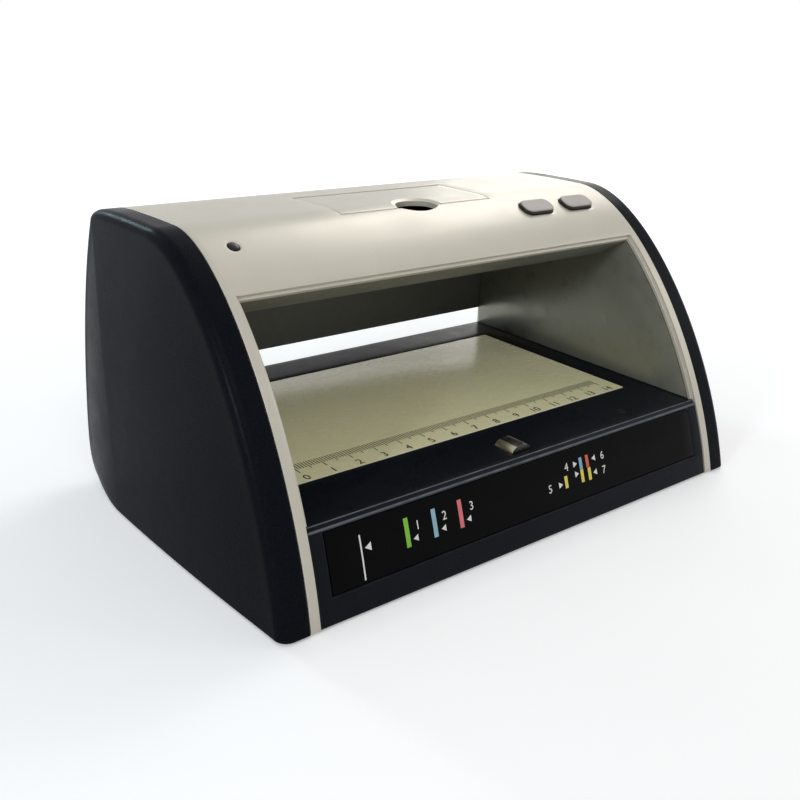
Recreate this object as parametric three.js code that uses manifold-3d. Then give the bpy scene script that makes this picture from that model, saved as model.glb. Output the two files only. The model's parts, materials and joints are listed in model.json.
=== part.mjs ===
// Desktop counterfeit money detector: an arched lamp housing over a lit deck, with a hatch and two buttons.
// Units are millimetres. X runs right, Y to the back and Z up, from the middle of the footprint.

import * as THREE from "three";
import { mergeVertices } from "three/addons/utils/BufferGeometryUtils.js";
import Module from "manifold-3d";

const wasm = await Module();
wasm.setup();

// Driving dimensions of the whole and of its pieces

const overall = { width: 209, depth: 127, height: 99 };
const clearance = 0.3;
const overrun = 6;
const facets = { round: 24, small: 14, corner: 5, crease: 5, arch: 12 };
const outlineFacets = { front: 26, shoulder: 12, rear: 8, heel: 7 };

const foot = { radius: 6, height: 1.5, projection: 1, sideInset: 34.5, frontInset: 13.5, rearInset: 30.5 };
const screw = { headRadius: 2.8, head: 0.9, seat: 1.2, shankRadius: 1.25, length: 12 };
const screwPost = { radius: 3.5, sideInset: 23.5, frontInset: 14, rearInset: 27.5 };
const floorPlate = { thickness: 2.4, rib: 1.6, ribOffset: 40 };

const cover = { thickness: 12.3, flat: 5.3, crease: 3.8, wall: 2.4, domeSetback: 92 };
const shell = { wall: 2.5, web: 2.7, strip: 3.4, openingDrop: 15.3, rearDrop: 13 };
const lip = { width: 1, setback: 1.2 };
const liner = { wall: 1.6 };
const rearPanel = { wall: 2.4, slot: 7.1 };

const base = { height: 27.3, deck: 3.2, wall: 2.4, setback: 0.5, chamfer: 1.2 };
const label = { sideMargin: 5.3, topDrop: 2.1, height: 16.6, thickness: 0.5, recess: 0.9, sink: 0.1 };
const plate = { sideMargin: 10.5, frontMargin: 23.9, rearMargin: 17.5, thickness: 1.8, ledge: 2.8 };
const lightBox = { height: 15.8, wall: 1.6, ledge: 1.6, lap: 2 };
const diffuser = { thickness: 1.5, drop: 0.8 };
const backlight = { margin: 6, thickness: 1.6 };

const lamp = { drop: 24.7, wall: 2, edgeBehindOpening: 11.8, baffleSetback: 3.2, baffleDrop: 0.6 };
const lampWindow = { sideMargin: 17.3, setback: 14, depth: 20 };
const filter = { lap: 3, thickness: 1.6 };
const lampBoard = { sideMargin: 7.3, depth: 22, thickness: 1.6, postRadius: 2, postInset: 4.5 };
const led = { radius: 2.5, height: 2.4, dome: 0.7, count: 4 };

const head = { width: 8.4, depth: 8, proud: 2.2, body: 9, frontInset: 3.7, offset: -1 };
const core = { width: 2.6, depth: 5.4, height: 3 };
const holder = { wall: 1.6, floor: 2 };
const sensor = { radius: 1.35, flangeRadius: 2.8, flange: 1, sink: 0.2, sideInset: 32.2, frontInset: 7.6 };

const hatch = { width: 68, behindOpening: 24.5, length: 28.1, hingeGap: 1.2 };
const notch = { radius: 8.6, bevel: 1.5, bevelDepth: 0.7 };
const fingerCut = { radius: 12.5, reach: 3.7 };
const fingerWell = { radius: 14.3, reach: 4.2 };
const pin = { radius: 0.5, length: 5 };
const tray = { depth: 13, floor: 1.8, sideLap: 3, frontLap: 5.7, rearLap: 3 };
const pocket = { sideLedge: 1.5, frontLedge: 2, rearLedge: 2.5 };

const button = { width: 15, height: 7.2, corner: 3, proud: 1.4, edge: 0.5, travel: 0.8 };
const buttonRow = { sideInset: 30.7, spacing: 22, behindOpening: 15.5 };
const flange = { lap: 1, thickness: 1, relief: 0.3 };
const nib = { radius: 1.5, length: 0.8 };
const tactile = { size: 6, body: 3.5, plungerRadius: 1.7, plunger: 0.5, slack: 0.3 };
const buttonBoard = { depth: 12, thickness: 1.6, overhang: 12.7 };
const buttonPost = { radius: 1.9, inset: 1.9 };
const indicator = { sideInset: 11.1, behindOpening: 14.6, radius: 1.8, dome: 0.3 };
const indicatorLed = { length: 4, dome: 1 };
const collar = { wall: 1.8, length: 4.5 };

const mainBoard = { sideInset: 10.8, width: 58, depth: 19, thickness: 1.6, rise: 4.3, frontInset: 7.5 };
const boardPost = { radius: 2.5, inset: 5 };
const buzzer = { radius: 6, height: 7, edgeInset: 12, portRadius: 1.2, portDepth: 2 };
const jack = { width: 9, depth: 9, height: 11, rise: 13, sideInset: 21.7, noseRadius: 3.9 };
const jackBore = { radius: 2.8, depth: 9, pinRadius: 1, pinSetback: 1 };

// The side outline, as shares of the depth behind the front and of the height above the bottom

const frontControlShares = [[0, 0], [0.081, 0.494], [0.379, 1], [0.602, 1]];
const shoulderControlShares = [[0.602, 1], [0.826, 1], [0.925, 0.998], [0.935, 0.961]];
const rearControlShares = [[0.935, 0.961], [1, 0.715], [1, 0.368]];
const heelControlShares = [[0.998, 0.248], [0.98, 0], [0.842, 0]];

// The domed outer face of a side cover, as shares of its rim that the rings shrink to

const domeShares = [0.9, 0.75, 0.5, 0.25];

// Levels and half widths that follow from the driving dimensions

const front = -overall.depth / 2;
const rear = overall.depth / 2;
const side = overall.width / 2;
const top = overall.height;
const bottom = foot.projection;
const shellHalf = side - cover.thickness - clearance;
const openingHalf = shellHalf - shell.strip;
const webInner = shellHalf - shell.web;
const linerOuter = webInner - clearance;
const linerInner = linerOuter - liner.wall;
const baseHalf = openingHalf - clearance;
const bayHalf = baseHalf - base.wall;
const deckUnderside = base.height - base.deck;
const floorTop = bottom + floorPlate.thickness;
const shellRearEdge = top - shell.rearDrop;
const ceiling = top - lamp.drop;
const ceilingTop = ceiling + lamp.wall;
const trayBottom = top - shell.wall - clearance - tray.depth;
const hatchHalf = hatch.width / 2;
const plateHalf = linerInner - plate.sideMargin;

// Outlines are convex lists of (y, z) points that run up the front, over the top and down the rear

const outlinePoint = ([depthShare, heightShare]) =>
  new THREE.Vector2(front + depthShare * overall.depth, bottom + heightShare * (top - bottom));

const frontCurve = new THREE.CubicBezierCurve(...frontControlShares.map(outlinePoint));
const shoulderCurve = new THREE.CubicBezierCurve(...shoulderControlShares.map(outlinePoint));
const rearCurve = new THREE.QuadraticBezierCurve(...rearControlShares.map(outlinePoint));
const heelCurve = new THREE.QuadraticBezierCurve(...heelControlShares.map(outlinePoint));

const sideOutline = [
  ...frontCurve.getPoints(outlineFacets.front),
  ...shoulderCurve.getPoints(outlineFacets.shoulder).slice(1),
  ...rearCurve.getPoints(outlineFacets.rear).slice(1),
  ...heelCurve.getPoints(outlineFacets.heel),
];

const inwardNormal = (from, to) => new THREE.Vector2(to.y - from.y, from.x - to.x).normalize();

// Moves an outline inward. An open one keeps its two ends square to their own stretches.
function inset(outline, distanceAt, open = false) {
  const count = outline.length;
  return outline.map((point, i) => {
    const before = inwardNormal(outline[(i + count - 1) % count], point);
    const after = inwardNormal(point, outline[(i + 1) % count]);
    if (open && i === 0) {
      before.copy(after);
    }
    if (open && i === count - 1) {
      after.copy(before);
    }
    const mitre = before.clone().add(after).normalize();
    const distance = typeof distanceAt === "number" ? distanceAt : distanceAt(point);
    return point.clone().addScaledVector(mitre, distance / mitre.dot(after));
  });
}

// Keeps the part of an outline on the near side of a straight line
function clip(outline, normal, limit) {
  const kept = [];
  outline.forEach((point, i) => {
    const next = outline[(i + 1) % outline.length];
    const here = point.dot(normal) - limit;
    const there = next.dot(normal) - limit;
    if (here <= 0) {
      kept.push(point.clone());
    }
    if (here * there < 0) {
      kept.push(point.clone().lerp(next, here / (here - there)));
    }
  });
  return kept;
}

const below = (outline, level) => clip(outline, new THREE.Vector2(0, 1), level);
const above = (outline, level) => clip(outline, new THREE.Vector2(0, -1), -level);
const inFrontOf = (outline, y) => clip(outline, new THREE.Vector2(1, 0), y);

// The lowest edge of an outline: its level and the y of its two ends
function lowestEdge(outline) {
  const level = Math.min(...outline.map((point) => point.y));
  const ends = outline.filter((point) => point.y < level + Number.EPSILON * top).map((point) => point.x);
  return { level, near: Math.min(...ends), far: Math.max(...ends) };
}

// Where an inset of the side outline crosses a level, in front and behind
const crossing = (level, distance) => lowestEdge(above(inset(sideOutline, distance), level));

// The height of the side outline above a given y
function surfaceHeight(y) {
  const next = sideOutline.findIndex((point) => point.x > y);
  const [start, end] = [sideOutline[next - 1], sideOutline[next]];
  return THREE.MathUtils.mapLinear(y, start.x, end.x, start.y, end.y);
}

// Solid helpers

const axisX = new THREE.Vector3(1, 0, 0);
const axisY = new THREE.Vector3(0, 1, 0);
const axisZ = new THREE.Vector3(0, 0, 1);
const quarterTurn = Math.PI / 2;

const around = (middle, half) => [middle - half, middle + half];
const span = (a, b) => [Math.min(a, b), Math.max(a, b)];
const joined = (...solids) => solids.reduce((sum, next) => sum.add(next));
const placed = (manifold, frame) => manifold.transform(frame.matrix.toArray());

function solid(geometry) {
  geometry.deleteAttribute("normal");
  geometry.deleteAttribute("uv");
  const merged = mergeVertices(geometry);
  const mesh = new wasm.Mesh({
    numProp: 3,
    vertProperties: new Float32Array(merged.attributes.position.array),
    triVerts: new Uint32Array(merged.index.array),
  });
  return new wasm.Manifold(mesh);
}

function prism(outline, left, right) {
  const settings = { depth: right - left, bevelEnabled: false };
  const geometry = new THREE.ExtrudeGeometry(new THREE.Shape(outline), settings);
  geometry.applyMatrix4(new THREE.Matrix4().makeBasis(axisY, axisZ, axisX));
  geometry.translate(left, 0, 0);
  return solid(geometry);
}

function block([left, right], [near, far], [low, high]) {
  const geometry = new THREE.BoxGeometry(right - left, far - near, high - low);
  geometry.translate((left + right) / 2, (near + far) / 2, (low + high) / 2);
  return solid(geometry);
}

function rod(radius, start, end, sides = facets.small) {
  const from = new THREE.Vector3(...start);
  const along = new THREE.Vector3(...end).sub(from);
  const geometry = new THREE.CylinderGeometry(radius, radius, along.length(), sides);
  geometry.translate(0, along.length() / 2, 0);
  geometry.applyQuaternion(new THREE.Quaternion().setFromUnitVectors(axisY, along.clone().normalize()));
  geometry.translate(from.x, from.y, from.z);
  return solid(geometry);
}

const upright = (radius, [x, y], [low, high], sides) => rod(radius, [x, y, low], [x, y, high], sides);
const crosswise = (radius, [left, right], [y, z], sides) => rod(radius, [left, y, z], [right, y, z], sides);

// An upright cone that widens from its low end to its high end
function funnel([lowRadius, highRadius], [x, y], [low, high]) {
  const geometry = new THREE.CylinderGeometry(highRadius, lowRadius, high - low, facets.round);
  geometry.rotateX(quarterTurn);
  geometry.translate(x, y, (low + high) / 2);
  return solid(geometry);
}

// A short upright rod with a rounded top
function domedRod(radius, low, high, dome) {
  const rounded = high - dome * (1 - Math.SQRT1_2);
  const waist = radius * Math.SQRT1_2;
  const profile = [[0, low], [radius, low], [radius, high - dome], [waist, rounded], [0, high]];
  const points = profile.map(([across, level]) => new THREE.Vector2(across, level));
  const geometry = new THREE.LatheGeometry(points, facets.small);
  geometry.rotateX(quarterTurn);
  return solid(geometry);
}

function roundedPad(width, height, corner, low, high, edge = 0) {
  const [x, y] = [width / 2 - corner, height / 2 - corner];
  const shape = new THREE.Shape();
  shape.absarc(x, -y, corner, -quarterTurn, 0);
  shape.absarc(x, y, corner, 0, quarterTurn);
  shape.absarc(-x, y, corner, quarterTurn, 2 * quarterTurn);
  shape.absarc(-x, -y, corner, 2 * quarterTurn, 3 * quarterTurn);
  const geometry = new THREE.ExtrudeGeometry(shape, {
    depth: high - low - 2 * edge,
    curveSegments: facets.corner,
    bevelEnabled: edge > 0,
    bevelThickness: edge,
    bevelSize: edge,
    bevelOffset: -edge,
    bevelSegments: 2,
  });
  geometry.translate(0, 0, low + edge);
  return solid(geometry);
}

// Skins a row of rings, each an outline at its own x, and closes both ends
function loft(rings) {
  const count = rings[0].outline.length;
  const last = (rings.length - 1) * count;
  const rising = rings.at(-1).x > rings[0].x;
  const positions = rings.flatMap(({ x, outline }) => outline.flatMap((point) => [x, point.x, point.y]));
  const index = [];
  const triangle = (a, b, c) => index.push(...(rising ? [a, b, c] : [a, c, b]));
  for (let start = 0; start < last; start += count) {
    for (let i = 0; i < count; i += 1) {
      const here = start + i;
      const beside = start + ((i + 1) % count);
      triangle(here, here + count, beside);
      triangle(beside, here + count, beside + count);
    }
  }
  for (let i = 1; i < count - 1; i += 1) {
    triangle(0, i, i + 1);
    triangle(last, last + i + 1, last + i);
  }
  const geometry = new THREE.BufferGeometry();
  geometry.setAttribute("position", new THREE.Float32BufferAttribute(positions, 3));
  geometry.setIndex(index);
  return solid(geometry);
}

// Materials and the making of pieces

const finishes = {
  silver: { color: 0xd6ccb8, roughness: 0.42, metalness: 0.45 },
  dark: { color: 0x22242c, roughness: 0.55, metalness: 0 },
  gloss: { color: 0x0b0c0e, roughness: 0.18, metalness: 0 },
  liner: { color: 0x7d7d78, roughness: 0.35, metalness: 0.2 },
  lampGrey: { color: 0x55564f, roughness: 0.6, metalness: 0 },
  taupe: { color: 0x8f8a82, roughness: 0.5, metalness: 0 },
  lens: { color: 0x2a2624, roughness: 0.2, metalness: 0 },
  plate: { color: 0xc9c49c, roughness: 0.4, metalness: 0 },
  white: { color: 0xf0f0ec, roughness: 0.6, metalness: 0 },
  violet: { color: 0x2c1c4a, roughness: 0.15, metalness: 0 },
  board: { color: 0x1f5a35, roughness: 0.5, metalness: 0 },
  black: { color: 0x141414, roughness: 0.6, metalness: 0 },
  steel: { color: 0xb9babd, roughness: 0.3, metalness: 0.9 },
  rubber: { color: 0x1a1a1a, roughness: 0.9, metalness: 0 },
};

const detector = new THREE.Group();

function piece(name, manifold, finish, parent = detector) {
  const { vertProperties, triVerts } = manifold.getMesh();
  const geometry = new THREE.BufferGeometry();
  geometry.setAttribute("position", new THREE.BufferAttribute(vertProperties, 3));
  geometry.setIndex(new THREE.BufferAttribute(triVerts, 1));
  const mesh = new THREE.Mesh(geometry, new THREE.MeshStandardMaterial(finishes[finish]));
  mesh.name = name;
  parent.add(mesh);
  return mesh;
}

// A group seated on the shell's front curve: its Z is the outward normal and its Y runs up the slope
function surfaceFrame(x, y, reach) {
  const rise = surfaceHeight(y + reach) - surfaceHeight(y - reach);
  const frame = new THREE.Group();
  frame.position.set(x, y, surfaceHeight(y));
  frame.rotation.x = Math.atan2(rise, 2 * reach);
  frame.updateMatrix();
  detector.add(frame);
  return frame;
}

// Side covers: lofted from the outline through the crease to a slightly domed face, and hollow inside

const heelTop = heelCurve.getPoint(0).y;
const creaseShare = (point) => (point.x < 0 ? 1 : THREE.MathUtils.smoothstep(point.y, bottom, heelTop));

// Brings the two ends of an open outline to a level, each along its own stretch
function footed(outline, level) {
  const meet = (end, next) => end.lerp(next, (level - end.y) / (next.y - end.y));
  meet(outline[0], outline[1]);
  meet(outline.at(-1), outline.at(-2));
  return outline;
}

function coverSkin(hand, wall) {
  const start = shellHalf + clearance;
  const depth = cover.thickness - wall;
  const radius = cover.crease - wall;
  const ring = (x, drawnIn) => {
    const outline = inset(sideOutline, (point) => wall + drawnIn * creaseShare(point), true);
    return { x, outline: footed(outline, bottom + wall) };
  };
  const rings = [ring(wall > 0 ? start - overrun : start, 0)];
  for (let i = 0; i <= facets.crease; i += 1) {
    const angle = (i / facets.crease) * quarterTurn;
    rings.push(ring(start + cover.flat + radius * Math.sin(angle), radius * (1 - Math.cos(angle))));
  }
  const rim = rings.at(-1);
  const middle = new THREE.Vector2(front + cover.domeSetback, bottom + wall);
  const bulge = (start + depth - rim.x) / (1 - domeShares.at(-1) ** 2);
  domeShares.forEach((share) => {
    const outline = rim.outline.map((point) => middle.clone().lerp(point, share));
    rings.push({ x: rim.x + bulge * (1 - share * share), outline });
  });
  return loft(rings.map(({ x, outline }) => ({ x: hand * x, outline })));
}

const sideCover = (hand) => coverSkin(hand, 0).subtract(coverSkin(hand, cover.wall));

piece("right_side_cover", sideCover(1), "dark");
piece("left_side_cover", sideCover(-1), "dark");

// Places on the shell: the opening's upper edge, the hatch, the buttons and the indicator

const openingEdge = surfaceFrame(0, crossing(top - shell.openingDrop, 0).near, button.height / 2);
const openingY = openingEdge.position.y;
const openingZ = openingEdge.position.z;
const upSlope = new THREE.Vector2(Math.cos(openingEdge.rotation.x), Math.sin(openingEdge.rotation.x));
const openingLimit = upSlope.dot(new THREE.Vector2(openingY, openingZ));

const hatchFront = openingY + hatch.behindOpening;
const hatchRear = hatchFront + hatch.length;
const hingeY = hatchRear - shell.wall / 2;
const hingeZ = surfaceHeight(hingeY) - shell.wall / 2;
const bayNear = hatchFront - clearance;
const bayFar = hatchRear + hatch.hingeGap;

const rowX = shellHalf - buttonRow.sideInset;
const rowY = openingY + buttonRow.behindOpening;
const buttonReach = button.height / 2 + flange.lap;
const rowFrame = surfaceFrame(rowX, rowY, buttonReach);
const buttonFrames = around(rowX, buttonRow.spacing / 2).map((x) => surfaceFrame(x, rowY, buttonReach));
const flangeTop = -shell.wall - clearance - flange.relief;
const flangeLow = flangeTop - flange.thickness;
const nibEnd = flangeLow - nib.length;
const switchTop = nibEnd - button.travel - tactile.slack;
const boardTop = switchTop - tactile.plunger - tactile.body - clearance;
const boardHalf = buttonRow.spacing / 2 + buttonBoard.overhang;

const indicatorX = indicator.sideInset - shellHalf;
const indicatorFrame = surfaceFrame(indicatorX, openingY + indicator.behindOpening, collar.length);

// Top shell: the arched roof, two side webs and the strips down the front, with a stepped lip

function openingRegion(half, extension) {
  const outline = inFrontOf(inset(sideOutline, -overrun), 0);
  return prism(clip(outline, upSlope, openingLimit + extension), -half, half);
}

function openingLip() {
  const half = openingHalf + lip.width / 2;
  const band = prism(inset(sideOutline, lip.setback), -half, half)
    .subtract(prism(inset(sideOutline, shell.wall), -shellHalf, shellHalf));
  const frame = openingRegion(half, lip.width)
    .subtract(openingRegion(openingHalf - lip.width, -lip.width));
  const baseSpace = block([-side, side], [front, rear], [bottom - overrun, base.height + clearance]);
  return band.intersect(frame).subtract(baseSpace);
}

function hatchCut() {
  const half = hatchHalf + clearance;
  const cutHeight = [ceilingTop, top + overrun];
  const bay = block([-half, half], [bayNear, bayFar], cutHeight);
  const centre = [0, hatchFront - fingerCut.reach + fingerCut.radius];
  const finger = upright(fingerCut.radius, centre, cutHeight, facets.round)
    .intersect(block([-half, half], [openingY, hatchFront], cutHeight));
  const pinEnd = hatchHalf + pin.length / 2 + clearance;
  const pinHoles = crosswise(pin.radius + clearance, [-pinEnd, pinEnd], [hingeY, hingeZ]);
  return joined(bay, finger, pinHoles);
}

function buttonHole(frame) {
  const width = button.width + 2 * clearance;
  const height = button.height + 2 * clearance;
  return placed(roundedPad(width, height, button.corner + clearance, -2 * shell.wall, overrun), frame);
}

function buttonPosts() {
  const reach = boardHalf - buttonPost.inset;
  const height = [boardTop + clearance, -shell.wall / 2];
  const posts = [-reach, 0, reach].map((x) => upright(buttonPost.radius, [x, 0], height));
  return placed(joined(...posts), rowFrame);
}

function indicatorCollar() {
  const radius = indicator.radius + clearance + collar.wall;
  return placed(upright(radius, [0, 0], [-shell.wall - collar.length, -shell.wall / 2]), indicatorFrame);
}

function topShell() {
  const arch = prism(sideOutline, -shellHalf, shellHalf)
    .subtract(prism(inset(sideOutline, shell.wall), -webInner, webInner))
    .subtract(block([-webInner, webInner], [0, rear + overrun], [bottom - overrun, shellRearEdge]))
    .subtract(openingRegion(openingHalf, 0));
  const fitted = joined(arch, openingLip(), indicatorCollar());
  const lensHole = upright(indicator.radius + clearance, [0, 0], [-2 * overrun, overrun]);
  const holes = joined(hatchCut(), placed(lensHole, indicatorFrame), ...buttonFrames.map(buttonHole));
  return fitted.subtract(holes).add(buttonPosts());
}

piece("top_shell", topShell(), "silver");

// Chamber walls inside the webs, and the rear cover that leaves a slot above the deck

function chamberWall(hand) {
  const outline = above(inset(sideOutline, shell.wall + clearance), base.height + clearance);
  return prism(outline, ...span(hand * linerInner, hand * linerOuter));
}

function rearCover() {
  const height = [base.height + rearPanel.slot, shellRearEdge - clearance];
  return prism(sideOutline, -linerOuter, linerOuter)
    .subtract(prism(inset(sideOutline, rearPanel.wall), -shellHalf, shellHalf))
    .intersect(block([-shellHalf, shellHalf], [0, rear + overrun], height));
}

piece("right_chamber_wall", chamberWall(1), "liner");
piece("left_chamber_wall", chamberWall(-1), "liner");
piece("rear_cover", rearCover(), "dark");

// Lamp housing: the chamber's ceiling with its window, and the baffle that slopes up to the opening

const baffleEdge = new THREE.Vector2(openingY + lamp.edgeBehindOpening, ceiling);
const windowNear = baffleEdge.x + lampWindow.setback;
const windowFar = windowNear + lampWindow.depth;
const windowMiddle = (windowNear + windowFar) / 2;
const windowHalf = linerInner - lampWindow.sideMargin;
const lampBoardHalf = linerInner - lampBoard.sideMargin;
const lampBoardLow = trayBottom - clearance - lampBoard.thickness;

function lampSection() {
  const baffleTop = new THREE.Vector2(openingY, openingZ)
    .addScaledVector(new THREE.Vector2(upSlope.y, -upSlope.x), lamp.baffleSetback)
    .addScaledVector(upSlope, -lamp.baffleDrop);
  const along = baffleEdge.clone().sub(baffleTop).normalize();
  const backTop = baffleTop.clone().add(new THREE.Vector2(-along.y, along.x).multiplyScalar(lamp.wall));
  const backEdge = backTop.clone().addScaledVector(along, (ceilingTop - backTop.y) / along.y);
  const farTop = new THREE.Vector2(rear, ceilingTop);
  const farLow = new THREE.Vector2(rear, ceiling);
  return [baffleTop, backTop, backEdge, farTop, farLow, baffleEdge];
}

function lampPosts() {
  const height = [ceilingTop - lamp.wall / 2, lampBoardLow - clearance];
  const across = around(0, lampBoardHalf - lampBoard.postInset);
  const along = around(windowMiddle, lampBoard.depth / 2 - lampBoard.postInset);
  return joined(...across.flatMap((x) => along.map((y) => upright(lampBoard.postRadius, [x, y], height))));
}

function lampHousing() {
  const half = linerInner - clearance;
  const window = block([-windowHalf, windowHalf], [windowNear, windowFar], around(ceiling, overrun));
  return prism(lampSection(), -half, half)
    .intersect(prism(inset(sideOutline, shell.wall + clearance), -half, half))
    .subtract(window)
    .add(lampPosts());
}

function ledRow(prefix, y, level, turn) {
  const body = domedRod(led.radius, 0, led.height, led.dome);
  const spacing = (2 * windowHalf) / led.count;
  for (let i = 0; i < led.count; i += 1) {
    const mesh = piece(`${prefix}_${i + 1}`, body, "white");
    mesh.position.set((i - (led.count - 1) / 2) * spacing, y, level);
    mesh.rotation.x = turn;
  }
}

function ultravioletLamp() {
  const boardDepth = around(windowMiddle, lampBoard.depth / 2);
  const boardHeight = [lampBoardLow, lampBoardLow + lampBoard.thickness];
  const board = block(around(0, lampBoardHalf), boardDepth, boardHeight);
  const glassHalf = windowHalf + filter.lap;
  const glassDepth = [windowNear - filter.lap, windowFar + filter.lap];
  const glassLow = ceilingTop + clearance;
  const glass = block([-glassHalf, glassHalf], glassDepth, [glassLow, glassLow + filter.thickness]);
  piece("ultraviolet_filter", glass, "violet");
  piece("ultraviolet_board", board, "board");
  ledRow("ultraviolet_led", windowMiddle, lampBoardLow - clearance, Math.PI);
}

piece("lamp_housing", lampHousing(), "lampGrey");
ultravioletLamp();

// Base tray: deck, sloping front with the label recess, and a bay below that the floor plate closes

const deckEdge = crossing(base.height, base.setback);
const bayOutline = below(inset(sideOutline, base.setback + base.wall), deckUnderside);
const bayFloor = lowestEdge(bayOutline);
const plateNear = deckEdge.near + plate.frontMargin;
const plateFar = deckEdge.far - plate.rearMargin;
const headY = deckEdge.near + head.frontInset + head.depth / 2;
const sensorPlace = [baseHalf - sensor.sideInset, deckEdge.near + sensor.frontInset];
const jackX = baseHalf - jack.sideInset;
const jackZ = bottom + jack.rise;
const labelHigh = base.height - label.topDrop;
const labelLow = labelHigh - label.height;
const labelHalf = openingHalf - label.sideMargin;

function cornerPlaces({ sideInset, frontInset, rearInset }) {
  const across = [sideInset - side, side - sideInset];
  const along = [front + frontInset, rear - rearInset];
  return across.flatMap((x) => along.map((y) => [x, y]));
}

const screwPlaces = cornerPlaces(screwPost);
const footPlaces = cornerPlaces(foot);

function chamferedDeck(outline) {
  const depth = base.chamfer * Math.SQRT1_2;
  const nearSlope = new THREE.Vector2(-1, 1).normalize();
  const farSlope = new THREE.Vector2(1, 1).normalize();
  const nearLimit = nearSlope.dot(new THREE.Vector2(deckEdge.near, base.height)) - depth;
  const farLimit = farSlope.dot(new THREE.Vector2(deckEdge.far, base.height)) - depth;
  return clip(clip(outline, nearSlope, nearLimit), farSlope, farLimit);
}

// Brings the lowest edge of an inset outline back down to the bottom
function standing(outline) {
  const { level } = lowestEdge(outline);
  return outline.map((point) => new THREE.Vector2(point.x, point.y > level ? point.y : bottom));
}

function frontBand(outerInset, thickness, half, height) {
  return prism(inset(sideOutline, outerInset), -half, half)
    .subtract(prism(inset(sideOutline, outerInset + thickness), -shellHalf, shellHalf))
    .intersect(block([-half, half], [front - overrun, 0], height));
}

function deckCuts() {
  const { ledge } = plate;
  const through = [deckUnderside - overrun, base.height + overrun];
  const seatDepth = [plateNear - clearance, plateFar + clearance];
  const seatHeight = [base.height - plate.thickness - clearance, base.height + overrun];
  const seat = block(around(0, plateHalf + clearance), seatDepth, seatHeight);
  const light = block(around(0, plateHalf - ledge), [plateNear + ledge, plateFar - ledge], through);
  const headWidth = around(head.offset, head.width / 2 + clearance);
  const headSlot = block(headWidth, around(headY, head.depth / 2 + clearance), through);
  return joined(seat, light, headSlot, upright(sensor.radius + clearance, sensorPlace, through));
}

function baseTray() {
  const outline = standing(chamferedDeck(below(inset(sideOutline, base.setback), base.height)));
  const mouthHeight = around(bayFloor.level, base.wall + overrun);
  const mouth = block([-bayHalf, bayHalf], [bayFloor.near, bayFloor.far], mouthHeight);
  const bay = prism(bayOutline, -bayHalf, bayHalf).add(mouth);
  const recess = frontBand(base.setback - overrun, overrun + label.recess, labelHalf + clearance,
    [labelLow - clearance, labelHigh + clearance]);
  const jackAxis = [bayFloor.far, rear + overrun].map((y) => [jackX, y, jackZ]);
  const jackHole = rod(jack.noseRadius + clearance, ...jackAxis, facets.round);
  const postHeight = [floorTop + clearance, deckUnderside + base.deck / 2];
  const posts = screwPlaces.map((place) => upright(screwPost.radius, place, postHeight));
  const pilotHeight = [bottom, bottom + screw.length + 2 * clearance];
  const pilots = screwPlaces.map((place) => upright(screw.shankRadius + clearance, place, pilotHeight));
  const tub = prism(outline, -baseHalf, baseHalf).subtract(joined(bay, recess, jackHole, deckCuts()));
  return joined(tub, ...posts).subtract(joined(...pilots));
}

function rulerPlate() {
  const height = [base.height - plate.thickness, base.height];
  return block([-plateHalf, plateHalf], [plateNear, plateFar], height);
}

const frontLabel = frontBand(base.setback + label.sink, label.thickness, labelHalf, [labelLow, labelHigh]);

piece("base_tray", baseTray(), "dark");
piece("front_label", frontLabel, "gloss");
piece("ruler_plate", rulerPlate(), "plate");

// Magnetic head in the middle of the deck, with its core and holder, and the small sensor window

function headSolid() {
  const half = head.width / 2;
  const shape = new THREE.Shape();
  shape.moveTo(-half, base.height - head.body);
  shape.lineTo(half, base.height - head.body);
  shape.absellipse(0, base.height, half, head.proud, 0, Math.PI);
  const settings = { depth: head.depth, bevelEnabled: false, curveSegments: facets.arch };
  const geometry = new THREE.ExtrudeGeometry(shape, settings);
  geometry.rotateX(quarterTurn);
  geometry.translate(head.offset, headY + head.depth / 2, 0);
  return solid(geometry);
}

function coreBlock(gap) {
  const high = base.height + head.proud - clearance;
  const height = [high - core.height - gap, gap > 0 ? high + overrun : high];
  return block(around(head.offset, core.width / 2 + gap), around(headY, core.depth / 2 + gap), height);
}

function headHolder() {
  const low = base.height - head.body - clearance - holder.floor;
  const box = (wall, height) => block(around(head.offset, head.width / 2 + clearance + wall),
    around(headY, head.depth / 2 + clearance + wall), height);
  const cavity = box(0, [low + holder.floor, base.height]);
  return box(holder.wall, [low, deckUnderside - clearance]).subtract(cavity);
}

function sensorLens() {
  const high = deckUnderside - clearance;
  const stem = upright(sensor.radius, [0, 0], [high - sensor.flange / 2, base.height - sensor.sink]);
  return upright(sensor.flangeRadius, [0, 0], [high - sensor.flange, high]).add(stem);
}

piece("magnetic_head", headSolid().subtract(coreBlock(clearance)), "steel");
piece("head_core", coreBlock(0), "black");
piece("head_holder", headHolder(), "black");
piece("sensor_lens", sensorLens(), "lens").position.set(...sensorPlace, 0);

// Light box under the plate: reflector tray, diffuser sheet and the white lamps on their board

const lightBoxHigh = deckUnderside - clearance;
const lightBoxLow = lightBoxHigh - lightBox.height;

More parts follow.
